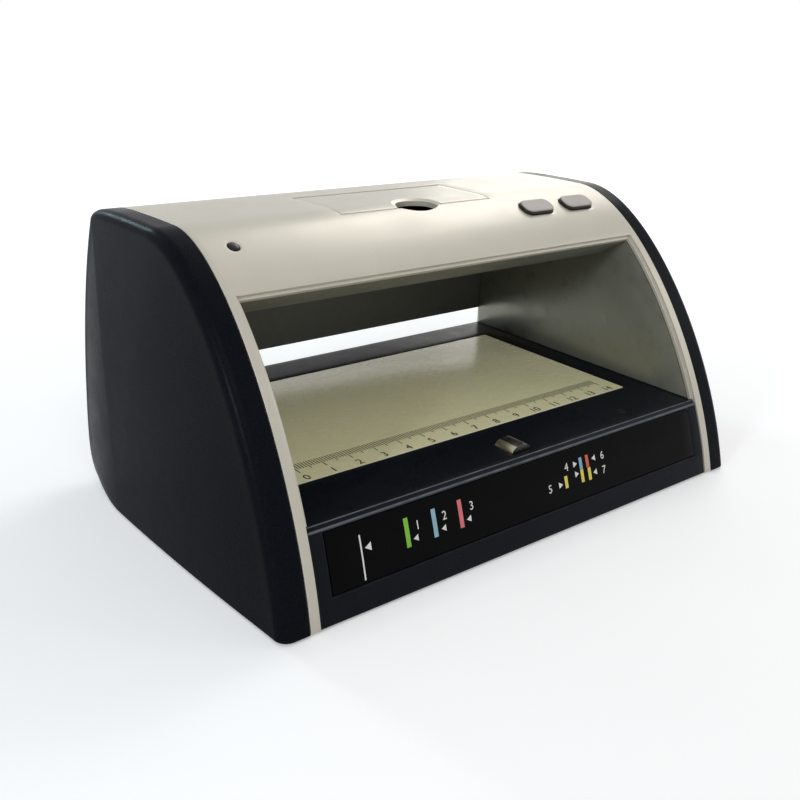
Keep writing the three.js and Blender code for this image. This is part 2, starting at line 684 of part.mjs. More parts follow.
function lightBoxPieces() {
  const near = plateNear + plate.ledge - lightBox.lap;
  const far = plateFar - plate.ledge + lightBox.lap;
  const half = plateHalf - plate.ledge + lightBox.lap;
  const slab = (margin, height) => block(around(0, half - margin), [near + margin, far - margin], height);
  const sheetLow = lightBoxHigh - diffuser.drop - diffuser.thickness;
  const boardLow = lightBoxLow + lightBox.wall + clearance;
  const boardHigh = boardLow + backlight.thickness;
  const trough = slab(lightBox.wall + lightBox.ledge, [lightBoxLow + lightBox.wall, lightBoxHigh]);
  const rim = slab(lightBox.wall, [sheetLow - clearance, lightBoxHigh + overrun]);
  const reflector = slab(0, [lightBoxLow, lightBoxHigh]).subtract(trough).subtract(rim);
  const sheet = slab(lightBox.wall + clearance, [sheetLow, sheetLow + diffuser.thickness]);
  const board = slab(lightBox.wall + lightBox.ledge + backlight.margin, [boardLow, boardHigh]);
  piece("reflector_tray", reflector, "white");
  piece("diffuser_sheet", sheet, "white");
  piece("backlight_board", board, "board");
  ledRow("white_led", (near + far) / 2, boardHigh + clearance, 0);
}

lightBoxPieces();

// Floor plate with its feet and screws: ribs carry the light box and posts carry the main board

const mainBoardLeft = mainBoard.sideInset - bayHalf;
const mainBoardRight = mainBoardLeft + mainBoard.width;
const mainBoardNear = front + mainBoard.frontInset;
const mainBoardFar = mainBoardNear + mainBoard.depth;
const mainBoardLow = floorTop + mainBoard.rise;
const mainBoardHigh = mainBoardLow + mainBoard.thickness;

function floorRibs() {
  const depth = [plateNear + plate.ledge, plateFar - plate.rearMargin];
  const height = [floorTop - floorPlate.thickness / 2, lightBoxLow - clearance];
  const middles = around(0, floorPlate.ribOffset);
  return joined(...middles.map((x) => block(around(x, floorPlate.rib / 2), depth, height)));
}

function mainBoardPosts() {
  const across = [mainBoardLeft + boardPost.inset, mainBoardRight - boardPost.inset];
  const along = [mainBoardNear + boardPost.inset, mainBoardFar - boardPost.inset];
  const height = [floorTop - floorPlate.thickness / 2, mainBoardLow - clearance];
  return joined(...across.flatMap((x) => along.map((y) => upright(boardPost.radius, [x, y], height))));
}

function floorPlateSolid() {
  const half = bayHalf - clearance;
  const depth = [bayFloor.near + clearance, bayFloor.far - clearance];
  const sheet = block([-half, half], depth, [bottom, floorTop]);
  const seatHeight = [0, foot.height + clearance];
  const footSeat = (place) => upright(foot.radius + clearance, place, seatHeight, facets.round);
  const screwHole = (place) => joined(
    upright(screw.headRadius + clearance, place, [0, bottom + screw.seat]),
    upright(screw.shankRadius + clearance, place, [bottom, floorTop + overrun]));
  const holes = joined(...footPlaces.map(footSeat), ...screwPlaces.map(screwHole));
  return joined(sheet, floorRibs(), mainBoardPosts()).subtract(holes);
}

function screwSolid() {
  const high = screw.seat - clearance;
  const shank = upright(screw.shankRadius, [0, 0], [high - screw.head / 2, screw.length]);
  return upright(screw.headRadius, [0, 0], [high - screw.head, high]).add(shank);
}

piece("floor_plate", floorPlateSolid(), "dark");
footPlaces.forEach(([x, y], i) => {
  const pad = upright(foot.radius, [0, 0], [0, foot.height], facets.round);
  piece(`foot_${i + 1}`, pad, "rubber").position.set(x, y, 0);
});
screwPlaces.forEach(([x, y], i) => {
  piece(`base_screw_${i + 1}`, screwSolid(), "steel").position.set(x, y, bottom);
});

// Main board with its buzzer, and the supply jack in the rear of the base

function buzzerCan() {
  const portHeight = [buzzer.height - buzzer.portDepth, buzzer.height + overrun];
  const port = upright(buzzer.portRadius, [0, 0], portHeight);
  return upright(buzzer.radius, [0, 0], [0, buzzer.height], facets.round).subtract(port);
}

function supplyJack() {
  const low = jackZ - jack.height / 2;
  const far = crossing(low, base.setback + base.wall).far - 2 * clearance;
  const mouth = crossing(jackZ, base.setback).far - clearance;
  const floor = mouth - jackBore.depth;
  const at = (y) => [jackX, y, jackZ];
  const body = block(around(jackX, jack.width / 2), [far - jack.depth, far], [low, low + jack.height]);
  const nose = rod(jack.noseRadius, at(far - jack.depth / 2), at(mouth), facets.round);
  const bore = rod(jackBore.radius, at(floor), at(mouth + overrun), facets.round);
  const contact = rod(jackBore.pinRadius, at(floor - clearance), at(mouth - jackBore.pinSetback));
  return body.add(nose).subtract(bore).add(contact);
}

function mainBoardPieces() {
  const width = [mainBoardLeft, mainBoardRight];
  const depth = [mainBoardNear, mainBoardFar];
  const buzzerX = mainBoardRight - buzzer.edgeInset;
  const buzzerY = (mainBoardNear + mainBoardFar) / 2;
  piece("main_board", block(width, depth, [mainBoardLow, mainBoardHigh]), "board");
  piece("buzzer", buzzerCan(), "black").position.set(buzzerX, buzzerY, mainBoardHigh + clearance);
}

mainBoardPieces();
piece("supply_jack", supplyJack(), "black");

// Hatch with its hinge pins, over a tray that hangs under the shell

function hatchLid() {
  const through = [ceilingTop, top + overrun];
  const leaf = prism(sideOutline, -hatchHalf, hatchHalf)
    .subtract(prism(inset(sideOutline, shell.wall), -shellHalf, shellHalf))
    .intersect(block([-hatchHalf, hatchHalf], [hatchFront, hingeY], through));
  const knuckle = crosswise(shell.wall / 2, [-hatchHalf, hatchHalf], [hingeY, hingeZ]);
  const notchCentre = [0, hatchFront];
  const bevelHeight = around(surfaceHeight(hatchFront), notch.bevelDepth);
  const opening = upright(notch.radius, notchCentre, through, facets.round)
    .add(funnel([notch.radius, notch.radius + 2 * notch.bevel], notchCentre, bevelHeight));
  const boreFloor = hatchHalf - pin.length / 2 - clearance;
  const bore = (ends) => crosswise(pin.radius + clearance, ends, [hingeY, hingeZ]);
  const bores = bore([boreFloor, hatchHalf + overrun]).add(bore([-hatchHalf - overrun, -boreFloor]));
  return leaf.add(knuckle).subtract(opening).subtract(bores);
}

function hatchTray() {
  const half = hatchHalf + tray.sideLap;
  const floorLevel = trayBottom + tray.floor;
  const depth = [hatchFront - tray.frontLap, bayFar + tray.rearLap];
  const hollowDepth = [hatchFront + pocket.frontLedge, hingeY - pocket.rearLedge];
  const hollow = block(around(0, hatchHalf - pocket.sideLedge), hollowDepth, [floorLevel, top]);
  const wellCentre = [0, hatchFront - fingerWell.reach + fingerWell.radius];
  const well = upright(fingerWell.radius, wellCentre, [floorLevel, top], facets.round);
  return block([-half, half], depth, [trayBottom, top])
    .intersect(prism(inset(sideOutline, shell.wall + clearance), -half, half))
    .subtract(hollow)
    .subtract(well);
}

piece("hatch", hatchLid(), "silver");
piece("hatch_tray", hatchTray(), "dark");
Object.entries({ left: -1, right: 1 }).forEach(([name, hand]) => {
  const mesh = piece(`hatch_pin_${name}`, crosswise(pin.radius, around(0, pin.length / 2), [0, 0]), "steel");
  mesh.position.set(hand * hatchHalf, hingeY, hingeZ);
});

// Buttons, their switches on one board, and the indicator with its lamp

function pushButton() {
  const { lap } = flange;
  const [width, height, corner] = [button.width + 2 * lap, button.height + 2 * lap, button.corner + lap];
  const capLow = flangeTop - flange.thickness / 2;
  const cap = roundedPad(button.width, button.height, button.corner, capLow, button.proud, button.edge);
  const plunger = upright(nib.radius, [0, 0], [nibEnd, flangeLow + flange.thickness / 2]);
  return joined(cap, roundedPad(width, height, corner, flangeLow, flangeTop), plunger);
}

function tactileSwitch() {
  const low = boardTop + clearance;
  const half = tactile.size / 2;
  const plunger = upright(tactile.plungerRadius, [0, 0], [low + tactile.body / 2, switchTop]);
  return block([-half, half], [-half, half], [low, low + tactile.body]).add(plunger);
}

["watermark", "ultraviolet"].forEach((name, i) => {
  piece(`${name}_button`, pushButton(), "taupe", buttonFrames[i]);
  piece(`${name}_switch`, tactileSwitch(), "black", buttonFrames[i]);
});

const rowBoardHeight = [boardTop - buttonBoard.thickness, boardTop];
const rowBoard = block(around(0, boardHalf), around(0, buttonBoard.depth / 2), rowBoardHeight);
piece("button_board", rowBoard, "board", rowFrame);

const lensLow = -shell.wall;
const lampHigh = lensLow - clearance;
const lens = domedRod(indicator.radius, lensLow, indicator.dome, 2 * indicator.dome);
const bulb = domedRod(indicator.radius, lampHigh - indicatorLed.length, lampHigh, indicatorLed.dome);
piece("indicator_lens", lens, "lens", indicatorFrame);
piece("indicator_led", bulb, "white", indicatorFrame);

export default detector;
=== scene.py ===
import json
import logging
import math
from dataclasses import dataclass, field, replace
from enum import Enum

import bmesh
import bpy
import numpy as np
from mathutils import Matrix, Vector


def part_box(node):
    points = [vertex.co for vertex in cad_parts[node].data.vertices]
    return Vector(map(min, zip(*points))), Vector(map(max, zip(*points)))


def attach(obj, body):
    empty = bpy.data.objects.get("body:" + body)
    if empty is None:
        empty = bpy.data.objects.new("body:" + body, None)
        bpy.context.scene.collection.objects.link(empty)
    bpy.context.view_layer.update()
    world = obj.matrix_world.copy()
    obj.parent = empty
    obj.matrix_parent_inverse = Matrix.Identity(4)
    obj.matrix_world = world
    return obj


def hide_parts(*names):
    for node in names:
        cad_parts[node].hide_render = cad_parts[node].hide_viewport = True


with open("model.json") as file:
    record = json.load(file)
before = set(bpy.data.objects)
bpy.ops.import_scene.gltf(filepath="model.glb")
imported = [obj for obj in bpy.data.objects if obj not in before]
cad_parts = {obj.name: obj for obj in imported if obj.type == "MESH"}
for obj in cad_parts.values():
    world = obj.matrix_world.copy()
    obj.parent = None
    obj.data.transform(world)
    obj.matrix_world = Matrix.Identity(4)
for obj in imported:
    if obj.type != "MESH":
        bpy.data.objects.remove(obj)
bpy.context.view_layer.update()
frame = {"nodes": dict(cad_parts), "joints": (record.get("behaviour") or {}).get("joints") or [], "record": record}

LOG = logging.getLogger("note_checker")
MM = 0.001
QUARTER = math.pi / 2
CENTIMETRE = 10 * MM
EDGE_SHARES = (0, 0.08, 0.3, 0.6, 1)
CLEARANCE = 0.3 * MM
HAIR = 0.001 * MM
ALMOST = 0.999
TINY = 1e-9


# Places and shapes worked out as arrays


def bezier(controls: np.ndarray, count: int) -> np.ndarray:
    """Points of a Bezier curve: each control weighted by its Bernstein polynomial in t from 0 to 1.

    Args:
        controls: the control points, one row each.
        count: how many points to return.

    Returns:
        The points, one row each.
    """
    degree = len(controls) - 1
    t = np.linspace(0, 1, count)[:, None]
    powers = np.arange(degree + 1)
    binomial = np.array([math.comb(degree, int(k)) for k in powers])
    weights = binomial * t**powers * (1 - t) ** (degree - powers)
    return weights @ controls


def smooth(low: float, high: float, value: np.ndarray) -> np.ndarray:
    """Smoothstep: 3t^2 - 2t^3 of the clipped share t of value between low and high.

    Args:
        low: where the result is 0.
        high: where the result is 1.
        value: the places to evaluate.

    Returns:
        The blended values from 0 to 1.
    """
    t = np.clip((value - low) / (high - low), 0, 1)
    return t * t * (3 - 2 * t)


def lines(stops: list[float], step: float, fine: list[tuple[float, float, float]]) -> np.ndarray:
    """Rising lines that hold every stop, with gaps no wider than the step, or finer in some stretches.

    Args:
        stops: the places that have to be lines.
        step: the widest gap allowed.
        fine: (start, end, step) of each stretch with its own step.

    Returns:
        The lines.
    """
    ends = [end for start, stop, _ in fine for end in (start, stop)]
    places = np.unique(np.round(np.array([*stops, *ends]), 8))
    places = places[(places >= min(stops)) & (places <= max(stops))]
    parts = [places[:1]]
    for start, end in zip(places, places[1:]):
        middle = (start + end) / 2
        widest = min([step, *(own for low, high, own in fine if low < middle < high)])
        parts.append(np.linspace(start, end, max(1, math.ceil((end - start) / widest - 0.001)) + 1)[1:])
    return np.concatenate(parts)


class Course:
    """A smooth line in the side view, measured along its length, with its inward direction."""

    def __init__(self, points: np.ndarray, softness: float = 0.0, samples: int = 3000) -> None:
        """Resamples the points evenly and keeps their inward directions.

        Args:
            points: (y, z) rows in order, with the inside on the right hand.
            softness: the length over which inward directions are averaged, in metres.
            samples: how many even samples are kept.
        """
        steps = np.linalg.norm(np.diff(points, axis=0), axis=1)
        rows = np.concatenate([[True], steps > TINY])
        points = points[rows]
        run = np.concatenate([[0], np.cumsum(steps[steps > TINY])])
        self.length = float(run[-1])
        self.runs = np.linspace(0, self.length, samples)
        self.points = np.column_stack([np.interp(self.runs, run, points[:, k]) for k in (0, 1)])
        tangent = np.gradient(self.points, axis=0)
        inward = np.column_stack([tangent[:, 1], -tangent[:, 0]])
        width = int(softness / self.length * samples) // 2 * 2 + 1
        if width > 1:
            padded = np.pad(inward, ((width // 2, width // 2), (0, 0)), mode="edge")
            kernel = np.hanning(width + 2)[1:-1]
            inward = np.column_stack([np.convolve(padded[:, k], kernel, "valid") for k in (0, 1)])
        self.inward = inward / np.linalg.norm(inward, axis=1, keepdims=True)

    def place(self, run: np.ndarray, depth: np.ndarray | float = 0.0) -> np.ndarray:
        """The (y, z) of places along the course: the course point plus depth times its inward direction.

        Args:
            run: the lengths along the course.
            depth: how far inside the course, one value or one for each place.

        Returns:
            The (y, z) rows.
        """
        at = [np.interp(run, self.runs, self.points[:, k]) for k in (0, 1)]
        along = [np.interp(run, self.runs, self.inward[:, k]) for k in (0, 1)]
        return np.stack([at[0] + depth * along[0], at[1] + depth * along[1]], axis=-1)

    def run_at_y(self, y: float) -> float:
        """The length along the course where it first reaches a given y."""
        k = int(np.argmax(self.points[:, 0] >= y))
        return float(np.interp(y, self.points[k - 1 : k + 1, 0], self.runs[k - 1 : k + 1]))

    def run_at_level(self, z: float, rising: bool = True) -> float:
        """The length along the course where it passes a level.

        Args:
            z: the level.
            rising: True for the passage in front, False for the one behind.

        Returns:
            The length along the course.
        """
        crest = int(np.argmax(self.points[:, 1]))
        part = slice(0, crest + 1) if rising else slice(crest, None)
        levels, runs = self.points[part, 1], self.runs[part]
        order = np.argsort(levels, kind="stable")
        return float(np.interp(z, levels[order], runs[order]))

    def inside(self, depth: float) -> "Course":
        """A course that runs at a depth inside this one."""
        return Course(self.place(self.runs, depth))


@dataclass(frozen=True)
class OutlineShares:
    """Control points of the side outline, as shares of the depth and of the height above the bottom."""

    front: tuple = ((0, 0), (0.081, 0.494), (0.379, 1), (0.602, 1))
    shoulder: tuple = ((0.602, 1), (0.826, 1), (0.925, 0.998), (0.935, 0.961))
    rear: tuple = ((0.935, 0.961), (1, 0.715), (1, 0.368))
    heel: tuple = ((0.998, 0.248), (0.98, 0), (0.842, 0))
    samples: int = 500
    softness: float = 9 * MM

    def course(self, low: np.ndarray, high: np.ndarray) -> Course:
        """The outline as a course: four Bezier stretches scaled to the CAD box.

        Args:
            low: the (y, z) of the front and the bottom.
            high: the (y, z) of the rear and the top.

        Returns:
            The course from the bottom front, over the top, to the bottom rear.
        """
        parts = (self.front, self.shoulder, self.rear, self.heel)
        stretches = [bezier(np.array(part, float), self.samples) for part in parts]
        return Course(low + np.vstack(stretches) * (high - low), softness=self.softness)


def grid_faces(rows: int, columns: int, closed: bool = False) -> np.ndarray:
    """Quads between neighbours of a grid of points stored row after row.

    Args:
        rows: how many rows the grid has.
        columns: how many points a row has.
        closed: True where the last column joins the first.

    Returns:
        The quads as point numbers, one row each.
    """
    index = np.arange(rows * columns).reshape(rows, columns)
    beside = np.roll(index, -1, axis=1)
    last = columns if closed else columns - 1
    corners = [index[:-1, :last], beside[:-1, :last], beside[1:, :last], index[1:, :last]]
    return np.stack([corner.ravel() for corner in corners], axis=1)


def rim_distance(direction: np.ndarray, half: tuple[float, float], corner: float) -> np.ndarray:
    """How far a ray from the middle of a rounded rectangle runs to its rim.

    The ray meets a straight side at half / |component|, or else the corner's circle, at
    c.q + sqrt((c.q)^2 - |q|^2 + r^2) for the unit direction c and the circle's middle q.

    Args:
        direction: unit directions, one row each.
        half: half the width and half the height.
        corner: the corner's radius.

    Returns:
        The distances.
    """
    size = np.abs(direction) + 1e-12
    across, up = half[0] / size[:, 0], half[1] / size[:, 1]
    middle = np.array([half[0] - corner, half[1] - corner])
    reach = size @ middle
    bend = reach + np.sqrt(np.maximum(reach**2 - middle @ middle + corner**2, 0))
    on_side = size[:, 1] * across <= middle[1]
    on_top = size[:, 0] * up <= middle[0]
    return np.where(on_side, across, np.where(on_top, up, bend))


def rounding(distance: np.ndarray, radius: float) -> np.ndarray:
    """How far a rounded edge has dropped, r - sqrt(r^2 - (r - d)^2), at a distance d from the edge.

    Args:
        distance: the distances from the edge, inside the material.
        radius: the edge's radius.

    Returns:
        The drops, from 0 at the radius to the whole radius at the edge.
    """
    reach = np.clip(radius - distance, 0, radius)
    return radius - np.sqrt(radius**2 - reach**2)


@dataclass(frozen=True)
class Recess:
    """A rectangle of a panel that is sunk to a depth, or cut away when it has none."""

    x: tuple[float, float]
    run: tuple[float, float]
    depth: float | None = None

    def distance(self, flat: np.ndarray) -> np.ndarray:
        """How far inside the rectangle each (x, run) point is, negative outside."""
        x, run = flat[:, 0], flat[:, 1]
        return np.min([x - self.x[0], self.x[1] - x, run - self.run[0], self.run[1] - run], axis=0)


@dataclass(frozen=True)
class Hole:
    """A round or rounded hole through a panel, inside a rectangle of the panel's own lines."""

    x: float
    run: float
    margin: tuple[float, float]
    half: tuple[float, float]
    corner: float

    def ends(self) -> tuple[tuple[float, float], tuple[float, float]]:
        """The rectangle's ends in x and along the course."""
        across, along = self.margin
        return (self.x - across, self.x + across), (self.run - along, self.run + along)


@dataclass
class Panel:
    """A formed wall that follows a course, with rounded edges, recesses and holes."""

    course: Course
    x: tuple[float, float]
    run: tuple[float, float]
    thickness: float
    radius: float = 0.3 * MM
    step: tuple[float, float] = (7 * MM, 2 * MM)
    recesses: tuple[Recess, ...] = ()
    holes: tuple[Hole, ...] = ()
    fine_x: tuple[tuple[float, float, float], ...] = ()
    fine_run: tuple[tuple[float, float, float], ...] = ()
    hole_step: float = 0.7 * MM
    hole_shares: tuple[float, ...] = (0.35, 0.7)
    foot: float = 0.03 * MM
    thinnest: float = 0.5 * MM
    flat: np.ndarray = field(init=False)
    faces: np.ndarray = field(init=False)
    drop: np.ndarray = field(init=False)

    def edge_lines(self, edge: float, inward: int) -> list[float]:
        """Lines across a rounded edge: shares of the radius away from it, on its material side."""
        return [edge + inward * share * self.radius for share in EDGE_SHARES]

    def axis_lines(self, axis: int) -> np.ndarray:
        """The lines of one axis, from the panel's own ends, its recesses and its holes.

        Args:
            axis: 0 for x and 1 for the course.

        Returns:
            The lines.
        """
        start, end = (self.x, self.run)[axis]
        stops = [*self.edge_lines(start, 1), *self.edge_lines(end, -1)]
        for recess in self.recesses:
            low, high = (recess.x, recess.run)[axis]
            if low > start:
                stops += [*self.edge_lines(low, -1), low + self.foot]
            if high < end:
                stops += [*self.edge_lines(high, 1), high - self.foot]
        fine = [(*hole.ends()[axis], self.hole_step) for hole in self.holes]
        return lines(stops, self.step[axis], [*fine, *(self.fine_x, self.fine_run)[axis]])

    def lay_out(self) -> None:
        """Lays the panel out flat: a grid of (x, run), less what is cut away, with a drop at each point."""
        xs, runs = self.axis_lines(0), self.axis_lines(1)
        x, run = np.meshgrid(xs, runs)
        self.flat = np.column_stack([x.ravel(), run.ravel()])
        self.faces = grid_faces(len(runs), len(xs))
        self.drop = rounding(Recess(self.x, self.run).distance(self.flat), self.radius)
        for recess in self.recesses:
            distance = recess.distance(self.flat)
            sunk = np.where(distance > self.foot / 3, recess.depth or 0.0, rounding(-distance, self.radius))
            self.drop = np.maximum(self.drop, sunk)
            if recess.depth is None:
                self.clear(recess)
        for hole in self.holes:
            self.ring(hole, xs, runs)

    def clear(self, recess: Recess) -> None:
        """Removes the faces whose middles lie in a rectangle."""
        self.faces = self.faces[recess.distance(self.flat[self.faces].mean(axis=1)) < 0]

    def ring(self, hole: Hole, xs: np.ndarray, runs: np.ndarray) -> None:
        """Replaces a rectangle of cells by rings that shrink to the hole's rim and round over it.

        A ring point is the rectangle's point moved a share of the way along its ray to the rim.

        Args:
            hole: the hole.
            xs: the panel's lines in x.
            runs: the panel's lines along the course.
        """
        across, along = hole.ends()
        left, right = (int(np.argmin(np.abs(xs - end))) for end in across)
        low, high = (int(np.argmin(np.abs(runs - end))) for end in along)
        columns = len(xs)
        loop = np.concatenate([
            low * columns + np.arange(left, right),
            np.arange(low, high) * columns + right,
            high * columns + np.arange(right, left, -1),
            np.arange(high, low, -1) * columns + left,
        ])
        self.clear(Recess(across, along))
        centre = np.array([hole.x, hole.run])
        away = self.flat[loop] - centre
        reach = np.linalg.norm(away, axis=1, keepdims=True)
        direction = away / reach
        rim = rim_distance(direction, hole.half, hole.corner)[:, None]
        before = loop
        towards = [(share, 1.0) for share in self.hole_shares]
        rounded = [(1.0, lift) for lift in EDGE_SHARES[::-1]]
        for share, lift in (*towards, *rounded):
            start = len(self.flat)
            goal = rim + lift * self.radius
            self.flat = np.vstack([self.flat, centre + direction * (reach * (1 - share) + goal * share)])
            drop = rounding(lift * self.radius, self.radius) if share == 1.0 else 0.0
            self.drop = np.concatenate([self.drop, np.full(len(loop), drop)])
            ring = start + np.arange(len(loop))
            quads = np.stack([before, np.roll(before, -1), np.roll(ring, -1), ring], axis=1)
            self.faces = np.vstack([self.faces, quads])
            before = ring

    def body(self, shift: object = None) -> tuple[np.ndarray, list]:
        """Forms the flat panel along its course and closes it with its inner side and rim.

        Args:
            shift: a function that moves the flat points before they are formed, or None.

        Returns:
            The points and the faces.
        """
        self.lay_out()
        used, numbers = np.unique(self.faces, return_inverse=True)
        flat, drop = self.flat[used], self.drop[used]
        if shift is not None:
            flat = shift(flat)
        outer = on_course(self.course, flat, drop)
        inner = on_course(self.course, flat, np.maximum(drop + self.thinnest, self.thickness))
        return closed_plate(outer, inner, numbers.reshape(self.faces.shape))


def closed_plate(outer: np.ndarray, inner: np.ndarray, faces: np.ndarray) -> tuple[np.ndarray, list]:
    """Closes an outer and an inner sheet with the same faces into one body, with walls along the rim.

    A side that only one face uses is rim, and its wall runs back from the outer to the inner sheet.

    Args:
        outer: the outer sheet's points.
        inner: the inner sheet's points, in the same order.
        faces: the faces of the outer sheet, facing out.

    Returns:
        The points and the faces of the body.
    """
    count = len(outer)
    sides = np.stack([faces, np.roll(faces, -1, axis=1)], axis=2).reshape(-1, 2)
    keys = sides[:, 0].astype(np.int64) * count + sides[:, 1]
    mates = sides[:, 1].astype(np.int64) * count + sides[:, 0]
    rim = sides[~np.isin(keys, mates)]
    walls = np.stack([rim[:, 1], rim[:, 0], rim[:, 0] + count, rim[:, 1] + count], axis=1)
    return np.vstack([outer, inner]), [faces, faces[:, ::-1] + count, walls]


def on_course(course: Course, flat: np.ndarray, depth: np.ndarray | float = 0.0) -> np.ndarray:
    """Carries flat (x, run) points onto a course: x stays and (y, z) come from the course at a depth.

    Args:
        course: the course that the sheet follows.
        flat: the (x, run) points.
        depth: how far inside the course each point is.

    Returns:
        The (x, y, z) points.
    """
    return np.column_stack([flat[:, 0], course.place(flat[:, 1], depth)])


def side_wall(rim: np.ndarray, level: float, inner: float, outer: float) -> tuple[np.ndarray, list]:
    """A flat wall square to x: rings from its middle out to the rim at one x, and back at the other.

    Args:
        rim: the (y, z) rows of its rim.
        level: the z of its middle, which lies at y = 0.
        inner: the x of one face.
        outer: the x of the other face.

    Returns:
        The points and the faces.
    """
    centre = np.array([0.0, level])
    rows = ((inner, 0.0), (inner, 1.0), (outer, 1.0), (outer, 0.0))
    points = [np.column_stack([np.full(len(rim), x), centre + (rim - centre) * share]) for x, share in rows]
    return np.vstack(points), [grid_faces(len(rows), len(rim), closed=True)]


def on_slope(points: np.ndarray, place: np.ndarray, up: np.ndarray) -> np.ndarray:
    """Sets an upright body on a slope: x stays, and its height runs along the slope's outward direction.

    Args:
        points: the body's points.
        place: where its origin goes.
        up: the unit outward direction, square to x.

    Returns:
        The moved points.
    """
    return place + points @ np.array([[1.0, 0.0, 0.0], np.cross(up, [1.0, 0.0, 0.0]), up])


def rounded_ring(half: tuple[float, float], corner: float, count: int) -> np.ndarray:
    """The rim of a rounded rectangle as four corner arcs with the same number of points each.

    Args:
        half: half the width and half the height.
        corner: the corner's radius.
        count: the points of one corner.

    Returns:
        The (x, y) rows, anticlockwise.
    """
    angles = (np.arange(4)[:, None] * QUARTER + np.linspace(0, QUARTER, count)).ravel()
    signs = np.repeat([[1, 1], [-1, 1], [-1, -1], [1, -1]], count, axis=0)
    middles = signs * (np.array(half) - corner)
    return middles + corner * np.column_stack([np.cos(angles), np.sin(angles)])


def stacked_rings(rings: list[tuple[tuple[float, float], float, float]],
                  count: int) -> tuple[np.ndarray, list]:
    """A body skinned over rounded rectangles, each at its own height, from the first to the last.

    Args:
        rings: (half sizes, corner radius, height) of each ring.
        count: the points of one corner.

    Returns:
        The points and quads, open at both ends.
    """
    rows = [np.column_stack([rounded_ring(half, corner, count), np.full(4 * count, height)])
            for half, corner, height in rings]
    return np.vstack(rows), [grid_faces(len(rings), 4 * count, closed=True)]


def turned(profile: np.ndarray, sides: int) -> tuple[np.ndarray, list]:
    """A profile turned about the upright axis: (radius cos a, radius sin a, height) for each angle a.

    Args:
        profile: (radius, height) rows from the bottom up.
        sides: how many points go round.

    Returns:
        The points and quads.
    """
    angles = np.arange(sides) * 2 * math.pi / sides
    x = profile[:, :1] * np.cos(angles)
    y = profile[:, :1] * np.sin(angles)
    z = np.repeat(profile[:, 1:], sides, axis=1)
    return np.stack([x, y, z], axis=-1).reshape(-1, 3), [grid_faces(len(profile), sides, closed=True)]


# Finishes


def linear(colour: tuple[float, float, float]) -> tuple[float, float, float, float]:
    """A display colour as linear light: ((c + 0.055) / 1.055)^2.4, with full alpha."""
    red, green, blue = (((c + 0.055) / 1.055) ** 2.4 if c > 0.04045 else c / 12.92 for c in colour)
    return (red, green, blue, 1.0)


